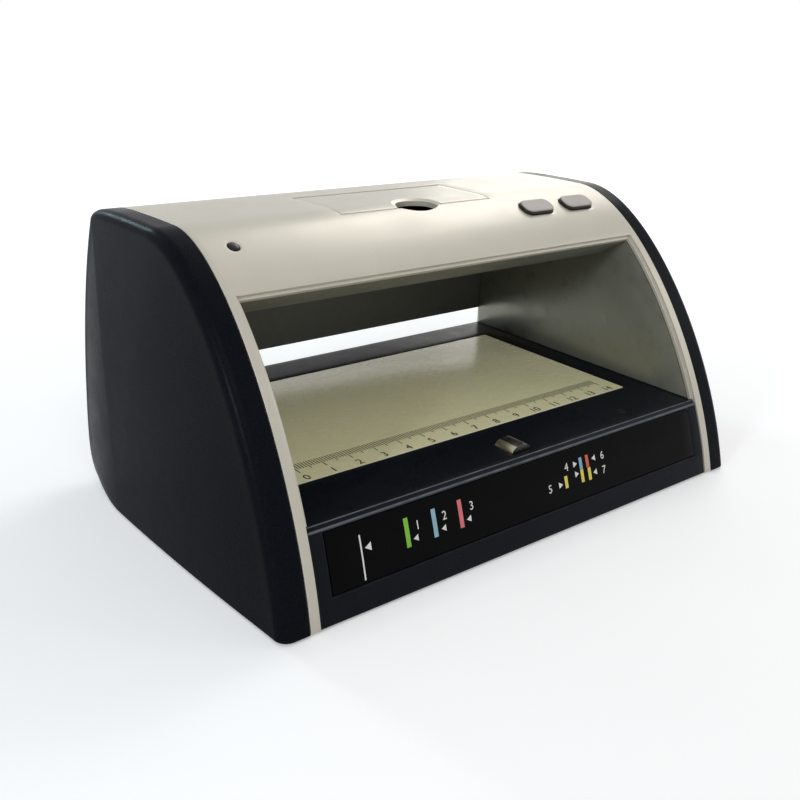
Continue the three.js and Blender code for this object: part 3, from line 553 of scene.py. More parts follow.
class Shader:
    """A material's node tree, built a node at a time."""

    def __init__(self, name: str) -> None:
        """Starts a material with a Principled shader and Object coordinates.

        Args:
            name: the material's name.
        """
        self.material = bpy.data.materials.new(name)
        self.material.use_nodes = True
        self.tree = self.material.node_tree
        self.tree.nodes.clear()
        self.output = self.add("ShaderNodeOutputMaterial")
        self.surface = self.add("ShaderNodeBsdfPrincipled")
        self.join(self.surface.outputs["BSDF"], self.output.inputs["Surface"])
        self.place = self.add("ShaderNodeTexCoord").outputs["Object"]

    def add(self, kind: str, **settings: object) -> bpy.types.Node:
        """Adds a node and sets its properties by name.

        Args:
            kind: the node's type.
            settings: its properties by name.

        Returns:
            The node.
        """
        node = self.tree.nodes.new(kind)
        for key, value in settings.items():
            setattr(node, key, value)
        return node

    def join(self, source: bpy.types.NodeSocket, target: bpy.types.NodeSocket) -> None:
        """Links two sockets."""
        self.tree.links.new(source, target)

    def feed(self, socket: bpy.types.NodeSocket, value: object) -> None:
        """Links a socket to a value, or sets it when the value is a number or colour.

        Args:
            socket: the input.
            value: an output, a number or a colour.
        """
        if isinstance(value, bpy.types.NodeSocket):
            self.join(value, socket)
        else:
            socket.default_value = value

    def math(self, operation: str, *values: object, clamp: bool = False) -> bpy.types.NodeSocket:
        """A Math node over sockets or numbers.

        Args:
            operation: the operation's name in capitals.
            values: its inputs in order.
            clamp: True to keep the result from 0 to 1.

        Returns:
            The result.
        """
        node = self.add("ShaderNodeMath", operation=operation, use_clamp=clamp)
        for socket, value in zip(node.inputs, values):
            self.feed(socket, value)
        return node.outputs[0]

    def noise(self, size: float, detail: float = 2.0, place: object = None) -> bpy.types.NodeSocket:
        """Noise between 0 and 1 whose features are about a size across.

        Args:
            size: the feature size in metres.
            detail: how many octaves finer it goes.
            place: the coordinates, or None for the piece's own.

        Returns:
            The noise value.
        """
        node = self.add("ShaderNodeTexNoise")
        node.inputs["Scale"].default_value = 1 / size
        node.inputs["Detail"].default_value = detail
        self.join(place or self.place, node.inputs["Vector"])
        return node.outputs[0]

    def stretched(self, scale: tuple[float, float, float]) -> bpy.types.NodeSocket:
        """The piece's coordinates multiplied along each axis.

        Args:
            scale: the factor of each axis.

        Returns:
            The coordinates.
        """
        node = self.add("ShaderNodeMapping")
        node.inputs["Scale"].default_value = scale
        self.join(self.place, node.inputs["Vector"])
        return node.outputs[0]

    def ramp(self, value: object, low: float, high: float, start: float, end: float) -> bpy.types.NodeSocket:
        """A value between low and high carried to the range from start to end, and kept inside it.

        Args:
            value: the value.
            low: the value that gives start.
            high: the value that gives end.
            start: the result at low.
            end: the result at high.

        Returns:
            The result.
        """
        node = self.add("ShaderNodeMapRange")
        for socket, number in zip(node.inputs, (value, low, high, start, end)):
            self.feed(socket, number)
        return node.outputs[0]

    def blend(self, share: object, first: object, second: object) -> bpy.types.NodeSocket:
        """A colour that goes from the first to the second as the share goes from 0 to 1.

        Args:
            share: the second colour's share.
            first: the first colour.
            second: the second colour.

        Returns:
            The colour.
        """
        node = self.add("ShaderNodeMix", data_type="RGBA")
        self.feed(node.inputs[0], share)
        self.feed(node.inputs[6], first)
        self.feed(node.inputs[7], second)
        return node.outputs[2]

    def edges(self, radius: float) -> bpy.types.NodeSocket:
        """How far a rounded normal turns from the surface's own: near 0 on flats and more near edges.

        Args:
            radius: how far the rounding reaches.

        Returns:
            The turn as a share from 0 to 1.
        """
        rounded = self.add("ShaderNodeBevel", samples=4)
        rounded.inputs["Radius"].default_value = radius
        product = self.add("ShaderNodeVectorMath", operation="DOT_PRODUCT")
        self.join(rounded.outputs[0], product.inputs[0])
        self.join(self.normal(), product.inputs[1])
        return self.ramp(product.outputs["Value"], 0.999, 0.93, 0.0, 1.0)

    def relief(self, height: object, distance: float) -> bpy.types.NodeSocket:
        """A bumped normal from a height between 0 and 1 and the distance that 1 stands for.

        Args:
            height: the height.
            distance: the distance in metres.

        Returns:
            The normal.
        """
        node = self.add("ShaderNodeBump")
        node.inputs["Distance"].default_value = distance
        self.join(height, node.inputs["Height"])
        return node.outputs[0]

    def axes(self, source: bpy.types.NodeSocket) -> bpy.types.NodeOutputs:
        """A vector's X, Y and Z as sockets.

        Args:
            source: the vector.

        Returns:
            The sockets by name.
        """
        node = self.add("ShaderNodeSeparateXYZ")
        self.join(source, node.inputs[0])
        return node.outputs

    def normal(self, kind: str = "Normal") -> bpy.types.NodeSocket:
        """The surface's own normal."""
        return self.add("ShaderNodeNewGeometry").outputs[kind]

    def clouds(self, size: float, colour: tuple[float, float, float], low: float,
               high: float) -> bpy.types.NodeSocket:
        """A display colour with darker and lighter clouds.

        Args:
            size: how wide the clouds are.
            colour: the display colour.
            low: the share of its light in the darkest clouds.
            high: the share in the lightest.

        Returns:
            The colour socket.
        """
        share = self.ramp(self.noise(size, 3.0), 0.3, 0.7, 0.0, 1.0)
        base = np.array(linear(colour)[:3])
        return self.blend(share, (*(base * low), 1.0), (*np.minimum(base * high, 1), 1.0))


@dataclass(frozen=True)
class Finish:
    """A moulded, painted or turned finish with clouded tone, fine grain, lighter worn edges and painted highlight
    lines.
    """

    name: str
    colour: tuple[float, float, float]
    roughness: float
    metallic: float = 0.0
    specular: float = 0.5
    tone: float = 0.05
    cloud: float = 30 * MM
    grain: float = 0.35 * MM
    relief: float = 0.012 * MM
    wear: float = 0.0
    wear_reach: float = 0.7 * MM
    wear_cloud: float = 6 * MM
    speckle: float = 0.0
    brushed: tuple[float, float, float] | None = None
    # Painted highlights: lighter lines along edges that run along x at these y places, standing for light caught
    # by rounded edges.
    highlight_lines_y: tuple[float, ...] = ()
    highlight_line_width: float = 0.5 * MM
    highlight_line_cloud: float = 7 * MM
    highlight_line_colour: tuple[float, float, float] = (0.42, 0.43, 0.46)

    def painted_highlight_line(self, shader: Shader, y: float) -> bpy.types.NodeSocket:
        """How strong a painted highlight line is along an edge that runs along x: 1 on it, 0 half a width away,
        and uneven.

        Args:
            shader: the node tree to build in.
            y: where the edge lies.

        Returns:
            The share of highlight colour.
        """
        away = shader.math("ABSOLUTE", shader.math("SUBTRACT", shader.axes(shader.place)["Y"], y))
        line = shader.ramp(away, self.highlight_line_width * 0.15, self.highlight_line_width / 2, 1.0, 0.0)
        uneven = shader.ramp(shader.noise(self.highlight_line_cloud), 0.3, 0.6, 0.55, 0.95)
        return shader.math("MULTIPLY", line, uneven)

    def tones(self, shader: Shader) -> bpy.types.NodeSocket:
        """The colour: darker and lighter clouds, fine speckle, lighter worn edges and painted highlight lines.

        Args:
            shader: the node tree to build in.

        Returns:
            The colour socket.
        """
        base = np.array(linear(self.colour)[:3])
        colour = shader.clouds(self.cloud, self.colour, 1 - self.tone, 1 + self.tone)
        if self.speckle > 0:
            dots = shader.ramp(shader.noise(self.grain, 1.0), 0.5, 0.75, 0.0, self.speckle)
            colour = shader.blend(dots, colour, (*np.minimum(base * 3 + 0.02, 1), 1.0))
        if self.wear > 0:
            patches = shader.ramp(shader.noise(self.wear_cloud), 0.35, 0.7, 0.2, 1.0)
            rubbed = shader.math("MULTIPLY", shader.edges(self.wear_reach), patches)
            share = shader.math("MULTIPLY", rubbed, self.wear)
            colour = shader.blend(share, colour, (*np.minimum(base * 2 + 0.07, 1), 1.0))
        # Painted highlight lines along the given edges.
        for y in self.highlight_lines_y:
            colour = shader.blend(self.painted_highlight_line(shader, y), colour, linear(self.highlight_line_colour))
        return colour

    def build(self) -> bpy.types.Material:
        """Makes the material.

        Returns:
            The material, ready for a slot.
        """
        shader = Shader(self.name)
        surface = shader.surface.inputs
        shader.join(self.tones(shader), surface["Base Color"])
        place = shader.stretched(self.brushed) if self.brushed else None
        grain = shader.noise(self.grain, 3.0, place)
        broad = shader.noise(self.cloud / 4, 2.0)
        fine_part = shader.ramp(grain, 0.3, 0.7, -0.05, 0.05)
        rough = shader.math("ADD", fine_part, shader.ramp(broad, 0.3, 0.7, -0.04, 0.04))
        shader.join(shader.math("ADD", rough, self.roughness, clamp=True), surface["Roughness"])
        shader.join(shader.relief(grain, self.relief), surface["Normal"])
        surface["Metallic"].default_value = self.metallic
        surface["Specular IOR Level"].default_value = self.specular
        return shader.material


@dataclass(frozen=True)
class OpalPlate:
    """The lit cream plate: cloudy plastic with a polished face and a clearer, paler edge, brightened further by a
    painted glow.
    """

    name: str = "opal_plate"
    colour: tuple[float, float, float] = (0.80, 0.785, 0.63)
    edge: tuple[float, float, float] = (0.80, 0.80, 0.74)
    roughness: float = 0.27
    # Strength of the painted glow: emission that brightens the plate in place of light falling on it.
    glow: float = 0.16
    cloud: float = 22 * MM
    scuff: float = 4 * MM
    depth: float = 2 * MM
    scattered: float = 0.25
    spread: tuple[float, float, float] = (1.0, 0.9, 0.6)
    specular: float = 0.6

    def build(self) -> bpy.types.Material:
        """Makes the material: the edge colour shows where the face turns away from upright.

        Returns:
            The material.
        """
        shader = Shader(self.name)
        surface = shader.surface.inputs
        side = shader.ramp(shader.axes(shader.normal())["Z"], 0.9, 0.3, 0.0, 1.0)
        face = shader.clouds(self.cloud, self.colour, 0.985, 1.015)
        shader.join(shader.blend(side, face, linear(self.edge)), surface["Base Color"])
        scuffs = shader.noise(self.scuff, 2.0, shader.stretched((0.5, 1.0, 1.0)))
        rough = shader.ramp(scuffs, 0.3, 0.7, self.roughness - 0.01, self.roughness + 0.01)
        shader.join(rough, surface["Roughness"])
        surface["Specular IOR Level"].default_value = self.specular
        surface["Subsurface Weight"].default_value = self.scattered
        surface["Subsurface Radius"].default_value = self.spread
        surface["Subsurface Scale"].default_value = self.depth
        # Painted light: the plate glows in its own colour though it is no lamp.
        surface["Emission Color"].default_value = linear(self.colour)
        surface["Emission Strength"].default_value = self.glow
        return shader.material


@dataclass(frozen=True)
class FilterGlass:
    """The dark violet glass of the lamp window."""

    name: str = "violet_filter"
    colour: tuple[float, float, float] = (0.36, 0.26, 0.55)
    cloud: float = 15 * MM
    mark: float = 1.2 * MM
    wave: float = 4 * MM
    relief: float = 0.01 * MM
    clear: float = 0.85
    index: float = 1.5

    def build(self) -> bpy.types.Material:
        """Makes the material: tinted transmission with faint polishing marks.

        Returns:
            The material.
        """
        shader = Shader(self.name)
        surface = shader.surface.inputs
        shader.join(shader.clouds(self.cloud, self.colour, 0.92, 1.08), surface["Base Color"])
        shader.join(shader.ramp(shader.noise(self.mark, 4.0), 0.3, 0.7, 0.03, 0.09), surface["Roughness"])
        shader.join(shader.relief(shader.noise(self.wave), self.relief), surface["Normal"])
        surface["Transmission Weight"].default_value = self.clear
        surface["IOR"].default_value = self.index
        return shader.material


@dataclass(frozen=True)
class CircuitBoard:
    """Green solder mask with darker tracks and pale pads."""

    name: str = "circuit_board"
    mask: tuple[float, float, float] = (0.12, 0.36, 0.21)
    track: tuple[float, float, float] = (0.08, 0.27, 0.15)
    pad: tuple[float, float, float] = (0.78, 0.72, 0.52)
    cell: float = 2.6 * MM
    relief: float = 0.02 * MM

    def build(self) -> bpy.types.Material:
        """Makes the material: tracks from a square cell pattern, and pads from the cells' middles.

        Returns:
            The material.
        """
        shader = Shader(self.name)
        surface = shader.surface.inputs
        cells = shader.add("ShaderNodeTexVoronoi", distance="MANHATTAN", feature="F1")
        cells.inputs["Scale"].default_value = 1 / self.cell
        cells.inputs["Randomness"].default_value = 0.55
        shader.join(shader.place, cells.inputs["Vector"])
        distance = cells.outputs["Distance"]
        tracks = shader.ramp(distance, 0.52, 0.6, 0.0, 1.0)
        pads = shader.ramp(distance, 0.16, 0.12, 0.0, 1.0)
        green = shader.blend(tracks, linear(self.mask), linear(self.track))
        shader.join(shader.blend(pads, green, linear(self.pad)), surface["Base Color"])
        shader.join(shader.ramp(pads, 0.0, 1.0, 0.32, 0.22), surface["Roughness"])
        shader.join(pads, surface["Metallic"])
        shader.join(shader.relief(tracks, self.relief), surface["Normal"])
        return shader.material


@dataclass(frozen=True)
class HeadShield:
    """The magnetic head's bent metal shield: bright round the edge, dark on its middle, and dark in front, where a
    reflection of the dark deck is painted.
    """

    name: str
    middle: tuple[float, float]
    metal: tuple[float, float, float] = (0.66, 0.64, 0.54)
    dark: tuple[float, float, float] = (0.05, 0.05, 0.055)
    roughness: float = 0.3
    border: float = 0.3 * MM
    cloud: float = 2 * MM
    grain: float = 0.25 * MM

    def build(self) -> bpy.types.Material:
        """Makes the material: bare metal turns dark where it faces forwards, a painted reflection of the dark
        deck, and between two places on top.

        Returns:
            The material.
        """
        shader = Shader(self.name)
        surface = shader.surface.inputs
        turn = shader.axes(shader.normal())
        across = shader.axes(shader.place)["X"]
        low, high = self.middle
        after = shader.ramp(across, low, low + self.border, 0.0, 1.0)
        before = shader.ramp(across, high, high - self.border, 0.0, 1.0)
        upward = shader.ramp(turn["Z"], 0.7, 0.85, 0.0, 1.0)
        top = shader.math("MULTIPLY", shader.math("MULTIPLY", after, before), upward)
        # Dark where it faces forwards: a painted reflection of the dark deck in front of it; also dark on its top
        # middle.
        cover = shader.math("MAXIMUM", shader.ramp(turn["Y"], -0.8, -0.93, 0.0, 1.0), top)
        bare = shader.clouds(self.cloud, self.metal, 0.92, 1.05)
        shader.join(shader.blend(cover, bare, linear(self.dark)), surface["Base Color"])
        shader.join(shader.ramp(cover, 0.0, 1.0, 0.85, 0.1), surface["Metallic"])
        fine = shader.noise(self.grain, 3.0)
        rough = shader.ramp(fine, 0.3, 0.7, self.roughness - 0.04, self.roughness + 0.06)
        shader.join(rough, surface["Roughness"])
        return shader.material


@dataclass(frozen=True)
class FacingColours:
    """Two colours by facing: one colour on faces that turn along a direction, and another on the rest, which on
    the buttons is partly painted shade.
    """

    name: str
    top: tuple[float, float, float]
    side: tuple[float, float, float]
    normal: tuple[float, float, float]
    cloud: float = 3 * MM
    grain: float = 0.25 * MM
    relief: float = 0.01 * MM

    def build(self) -> bpy.types.Material:
        """Makes the material: the top colour shows where the face turns along the given direction.

        Returns:
            The material.
        """
        shader = Shader(self.name)
        surface = shader.surface.inputs
        product = shader.add("ShaderNodeVectorMath", operation="DOT_PRODUCT")
        shader.join(shader.normal("True Normal"), product.inputs[0])
        product.inputs[1].default_value = self.normal
        up = shader.ramp(product.outputs["Value"], 0.45, 0.8, 0.0, 1.0)
        top = shader.clouds(self.cloud, self.top, 0.94, 1.06)
        shader.join(shader.blend(up, linear(self.side), top), surface["Base Color"])
        grain = shader.noise(self.grain, 3.0)
        shader.join(shader.ramp(grain, 0.3, 0.7, 0.36, 0.48), surface["Roughness"])
        shader.join(shader.relief(grain, self.relief), surface["Normal"])
        return shader.material


DARK = Finish("dark_body", (0.055, 0.06, 0.085), 0.30, specular=0.025, tone=0.10, grain=0.45 * MM,
              relief=0.035 * MM, wear=0.2, speckle=0.12)
DARK_DECK = Finish("dark_deck", (0.065, 0.07, 0.095), 0.32, specular=0.06, tone=0.10, grain=0.4 * MM,
                   relief=0.025 * MM, wear=0.3, speckle=0.10)
SILVER = Finish("silver_shell", (0.76, 0.74, 0.685), 0.35, metallic=0.3, specular=0.2, tone=0.02,
                cloud=50 * MM, grain=0.22 * MM, relief=0.005 * MM, wear=0.1, speckle=0.04)
LABEL = Finish("label_panel", (0.012, 0.013, 0.017), 0.22, specular=0.04, tone=0.1,
               grain=0.6 * MM, relief=0.003 * MM)
LINER = Finish("chamber_liner", (0.55, 0.55, 0.50), 0.32, metallic=0.6, tone=0.05, grain=0.3 * MM,
               relief=0.010 * MM, wear=0.1, speckle=0.06)
LAMP_GREY = Finish("lamp_grey", (0.40, 0.405, 0.375), 0.45, metallic=0.2, tone=0.06, grain=0.35 * MM,
                   relief=0.02 * MM, wear=0.15, speckle=0.1)
LENS = Finish("dark_lens", (0.07, 0.062, 0.06), 0.3, specular=0.25, tone=0.1, cloud=2 * MM,
              grain=0.3 * MM, relief=0.003 * MM)
WHITE = Finish("white_plastic", (0.92, 0.92, 0.90), 0.45, tone=0.03, cloud=12 * MM, relief=0.008 * MM)
BLACK = Finish("black_plastic", (0.07, 0.07, 0.08), 0.45, specular=0.25, tone=0.12, cloud=8 * MM,
               relief=0.02 * MM, wear=0.3)
STEEL = Finish("bright_steel", (0.78, 0.77, 0.74), 0.26, metallic=1.0, tone=0.05, cloud=4 * MM,
               grain=0.2 * MM, relief=0.006 * MM, brushed=(1.0, 0.06, 1.0))
RUBBER = Finish("foot_rubber", (0.10, 0.10, 0.10), 0.85, specular=0.2, tone=0.15, cloud=5 * MM,
                grain=0.5 * MM, relief=0.05 * MM)


class Ink(Enum):
    """The printed colours, each a flat film of ink."""

    WHITE = (0.90, 0.90, 0.88)
    GREEN = (0.47, 0.73, 0.16)
    PALE_BLUE = (0.54, 0.70, 0.76)
    PINK = (0.85, 0.42, 0.44)
    RED = (0.82, 0.32, 0.18)
    YELLOW = (0.88, 0.83, 0.30)
    BLUE = (0.50, 0.67, 0.76)
    RULER = (0.20, 0.185, 0.10)
    NUMERAL = (0.06, 0.055, 0.035)

    def build(self) -> bpy.types.Material:
        """Makes the ink's material, slightly uneven like a screen print."""
        finish = Finish(f"ink_{self.name.lower()}", self.value, 0.38, tone=0.06, cloud=2 * MM,
                        grain=0.25 * MM, relief=0.004 * MM)
        return finish.build()


# Objects


class Workshop:
    """Makes Blender objects from arrays, gives them finishes and sets them on their bodies."""

    def __init__(self) -> None:
        """Starts with no materials made and no CAD node seen to."""
        self.made: dict[object, bpy.types.Material] = {}
        self.seen_to: set[str] = set()
        self.fine_softener = self.soft_edges(20)
        self.softener = self.soft_edges(31)
        self.bevel_from = math.radians(34)
        self.merge = 0.002 * MM

    def material(self, finish: object) -> bpy.types.Material:
        """The finish's material, made once.

        Args:
            finish: the finish.

        Returns:
            Its material.
        """
        if finish not in self.made:
            self.made[finish] = finish.build()
        return self.made[finish]

    def soft_edges(self, limit_degrees: float) -> bpy.types.NodeTree:
        """A modifier tree that shades faces smoothly and keeps edges sharp past an angle.

        Args:
            limit_degrees: the angle between two faces past which their edge stays sharp.

        Returns:
            The geometry node group.
        """
        tree = bpy.data.node_groups.new(f"soft_shading_{limit_degrees}", "GeometryNodeTree")
        tree.interface.new_socket("Geometry", in_out="INPUT", socket_type="NodeSocketGeometry")
        tree.interface.new_socket("Geometry", in_out="OUTPUT", socket_type="NodeSocketGeometry")
        source = tree.nodes.new("NodeGroupInput")
        target = tree.nodes.new("NodeGroupOutput")
        faces = tree.nodes.new("GeometryNodeSetShadeSmooth")
        edges = tree.nodes.new("GeometryNodeSetShadeSmooth")
        edges.domain = "EDGE"
        angle = tree.nodes.new("GeometryNodeInputMeshEdgeAngle")
        limit = tree.nodes.new("FunctionNodeCompare")
        limit.operation = "LESS_THAN"
        limit.inputs[1].default_value = math.radians(limit_degrees)
        tree.links.new(source.outputs[0], faces.inputs["Geometry"])
        tree.links.new(faces.outputs[0], edges.inputs["Geometry"])
        tree.links.new(angle.outputs[0], limit.inputs[0])
        tree.links.new(limit.outputs[0], edges.inputs["Shade Smooth"])
        tree.links.new(edges.outputs[0], target.inputs[0])
        return tree

    def finish_edges(self, piece: bpy.types.Object, width: float, segments: int,
                     softener: bpy.types.NodeTree) -> None:
        """Rounds a piece's sharp edges and shades it smoothly, in modifiers.

        Args:
            piece: the piece.
            width: how far the rounding reaches from an edge, or 0 for none.
            segments: the rounding's segments.
            softener: the shading group.
        """
        if width > 0:
            bevel = piece.modifiers.new("edge_rounding", "BEVEL")
            bevel.width = width
            bevel.segments = segments
            bevel.limit_method = "ANGLE"
            bevel.angle_limit = self.bevel_from
            bevel.harden_normals = False
            bevel.use_clamp_overlap = True
        shading = piece.modifiers.new("soft_shading", "NODES")
        shading.node_group = softener

    def piece(self, name: str, parts: list[tuple[np.ndarray, list]], finish: object, body: str,
              replaces: tuple[str, ...], slot: str) -> bpy.types.Object:
        """Makes one piece from arrays, merged and facing outwards.

        Args:
            name: the piece's name.
            parts: (points, faces) of each stretch of it.
            finish: its finish.
            body: the CAD body it rides on.
            replaces: the CAD nodes it stands for.
            slot: the record's material slot; not used.

        Returns:
            The object.
        """
        mesh = bpy.data.meshes.new(name)
        starts = np.cumsum([0] + [len(points) for points, _ in parts])
        points = np.vstack([points for points, _ in parts])
        faces = [face for (_, groups), start in zip(parts, starts)
                 for group in groups for face in (group + start).tolist()]
        mesh.from_pydata(points.tolist(), [], faces)
        work = bmesh.new()
        work.from_mesh(mesh)
        bmesh.ops.remove_doubles(work, verts=work.verts, dist=self.merge)
        bmesh.ops.dissolve_degenerate(work, edges=work.edges, dist=HAIR)
        bmesh.ops.recalc_face_normals(work, faces=work.faces)
        work.to_mesh(mesh)
        work.free()
        thing = bpy.data.objects.new(name, mesh)
        bpy.context.scene.collection.objects.link(thing)
        mesh.materials.append(self.material(finish))
        self.finish_edges(thing, 0.0, 0, self.fine_softener)
        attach(thing, body)
        if replaces:
            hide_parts(*replaces)
            self.seen_to.update(replaces)
        LOG.info("%s: %d points, %d faces, on %s", name, len(mesh.vertices), len(mesh.polygons), body)
        return thing

    def dress(self, node: str, finish: object, edge: float = 0.0, segments: int = 2) -> None:
        """Gives a CAD node its finish, merged points, rounded edges and smooth shading.

        Args:
            node: the CAD node's name.
            finish: its finish.
            edge: the width of its rounded edges.
            segments: the segments of the rounding.
        """
        self.seen_to.add(node)
        thing = frame["nodes"][node]
        thing.data.materials.clear()
        thing.data.materials.append(self.material(finish))
        weld = thing.modifiers.new("joined_points", "WELD")
        weld.merge_threshold = HAIR
        self.finish_edges(thing, edge, segments, self.softener)
        LOG.info("%s: dressed as %s", node, finish.name)


# The object's pieces

HATCH_BEHIND = 24.5 * MM
BUTTONS_BEHIND = 15.5 * MM
LENS_BEHIND = 14.6 * MM
LENS_INSET = 11.1 * MM
WEB = 2.7 * MM
BUTTON_PLACES = {"watermark_button": 50.2 * MM, "ultraviolet_button": 72.2 * MM}


def extent(node: str) -> tuple[np.ndarray, np.ndarray]:
    """The low and high corner of a CAD node as arrays."""
    low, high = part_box(node)
    return np.array(low), np.array(high)


def film(course: Course, flat: np.ndarray, faces: np.ndarray,
         height: float = 0.05 * MM) -> tuple[np.ndarray, list]:
    """A printed film on a course, standing a little proud of it and sunk a little into it.

    Args:
        course: the course of the printed face.
        flat: the (x, run) points of the print.
        faces: its faces.
        height: how far it stands proud.

    Returns:
        The points and the faces.
    """
    return closed_plate(on_course(course, flat, -height), on_course(course, flat, height), faces)


def strip(left: float, right: float, low: float, high: float, rows: int = 6) -> tuple[np.ndarray, np.ndarray]:
    """A flat upright strip as (x, run) points in rows, with its faces."""
    x, run = np.meshgrid([left, right], np.linspace(low, high, rows + 1))
    return np.column_stack([x.ravel(), run.ravel()]), grid_faces(rows + 1, 2)


def number_shape(text: str, height: float) -> tuple[np.ndarray, np.ndarray]:
    """A plain number as flat triangles round the middle of its own box.

    Args:
        text: the digits.
        height: the height of a digit.

    Returns:
        The (x, y) points and the triangles.
    """
    curve = bpy.data.curves.new("digits", "FONT")
    curve.body = text
    curve.resolution_u = 6
    thing = bpy.data.objects.new("digits", curve)
    bpy.context.scene.collection.objects.link(thing)
    bpy.context.view_layer.update()
    mesh = thing.to_mesh()
    mesh.calc_loop_triangles()
    points = np.zeros(len(mesh.vertices) * 3)
    mesh.vertices.foreach_get("co", points)
    triangles = np.zeros(len(mesh.loop_triangles) * 3, int)
    mesh.loop_triangles.foreach_get("vertices", triangles)
    thing.to_mesh_clear()
    bpy.data.objects.remove(thing)
    bpy.data.curves.remove(curve)
    flat = points.reshape(-1, 3)[:, :2]
    low, high = flat.min(axis=0), flat.max(axis=0)
    return (flat - (low + high) / 2) * height / (high[1] - low[1]), triangles.reshape(-1, 3)


@dataclass(frozen=True)
class Plan:
    """The side outline and the frame's extents that several sub-assemblies share.

    The hatch, the buttons and the lens lie at set distances behind the opening's upper edge.
    """

    outline: Course
    opening_y: float
    shell_half: float
    opening_half: float
    web_inner: float
    bottom: float
    deck: float

    @classmethod
    def from_frame(cls) -> "Plan":
        """Reads the plan from the CAD boxes.

        Returns:
            The plan.
        """
        low, high = extent("top_shell")
        base_high = extent("base_tray")[1]
        outline = OutlineShares().course(low[1:], high[1:])
        opening_y = round(float(extent("hatch")[0][1]) - HATCH_BEHIND, 6)
        opening_half = float(base_high[0]) + CLEARANCE
        half = float(high[0])
        return cls(outline, opening_y, half, opening_half, half - WEB, float(low[2]), float(base_high[2]))


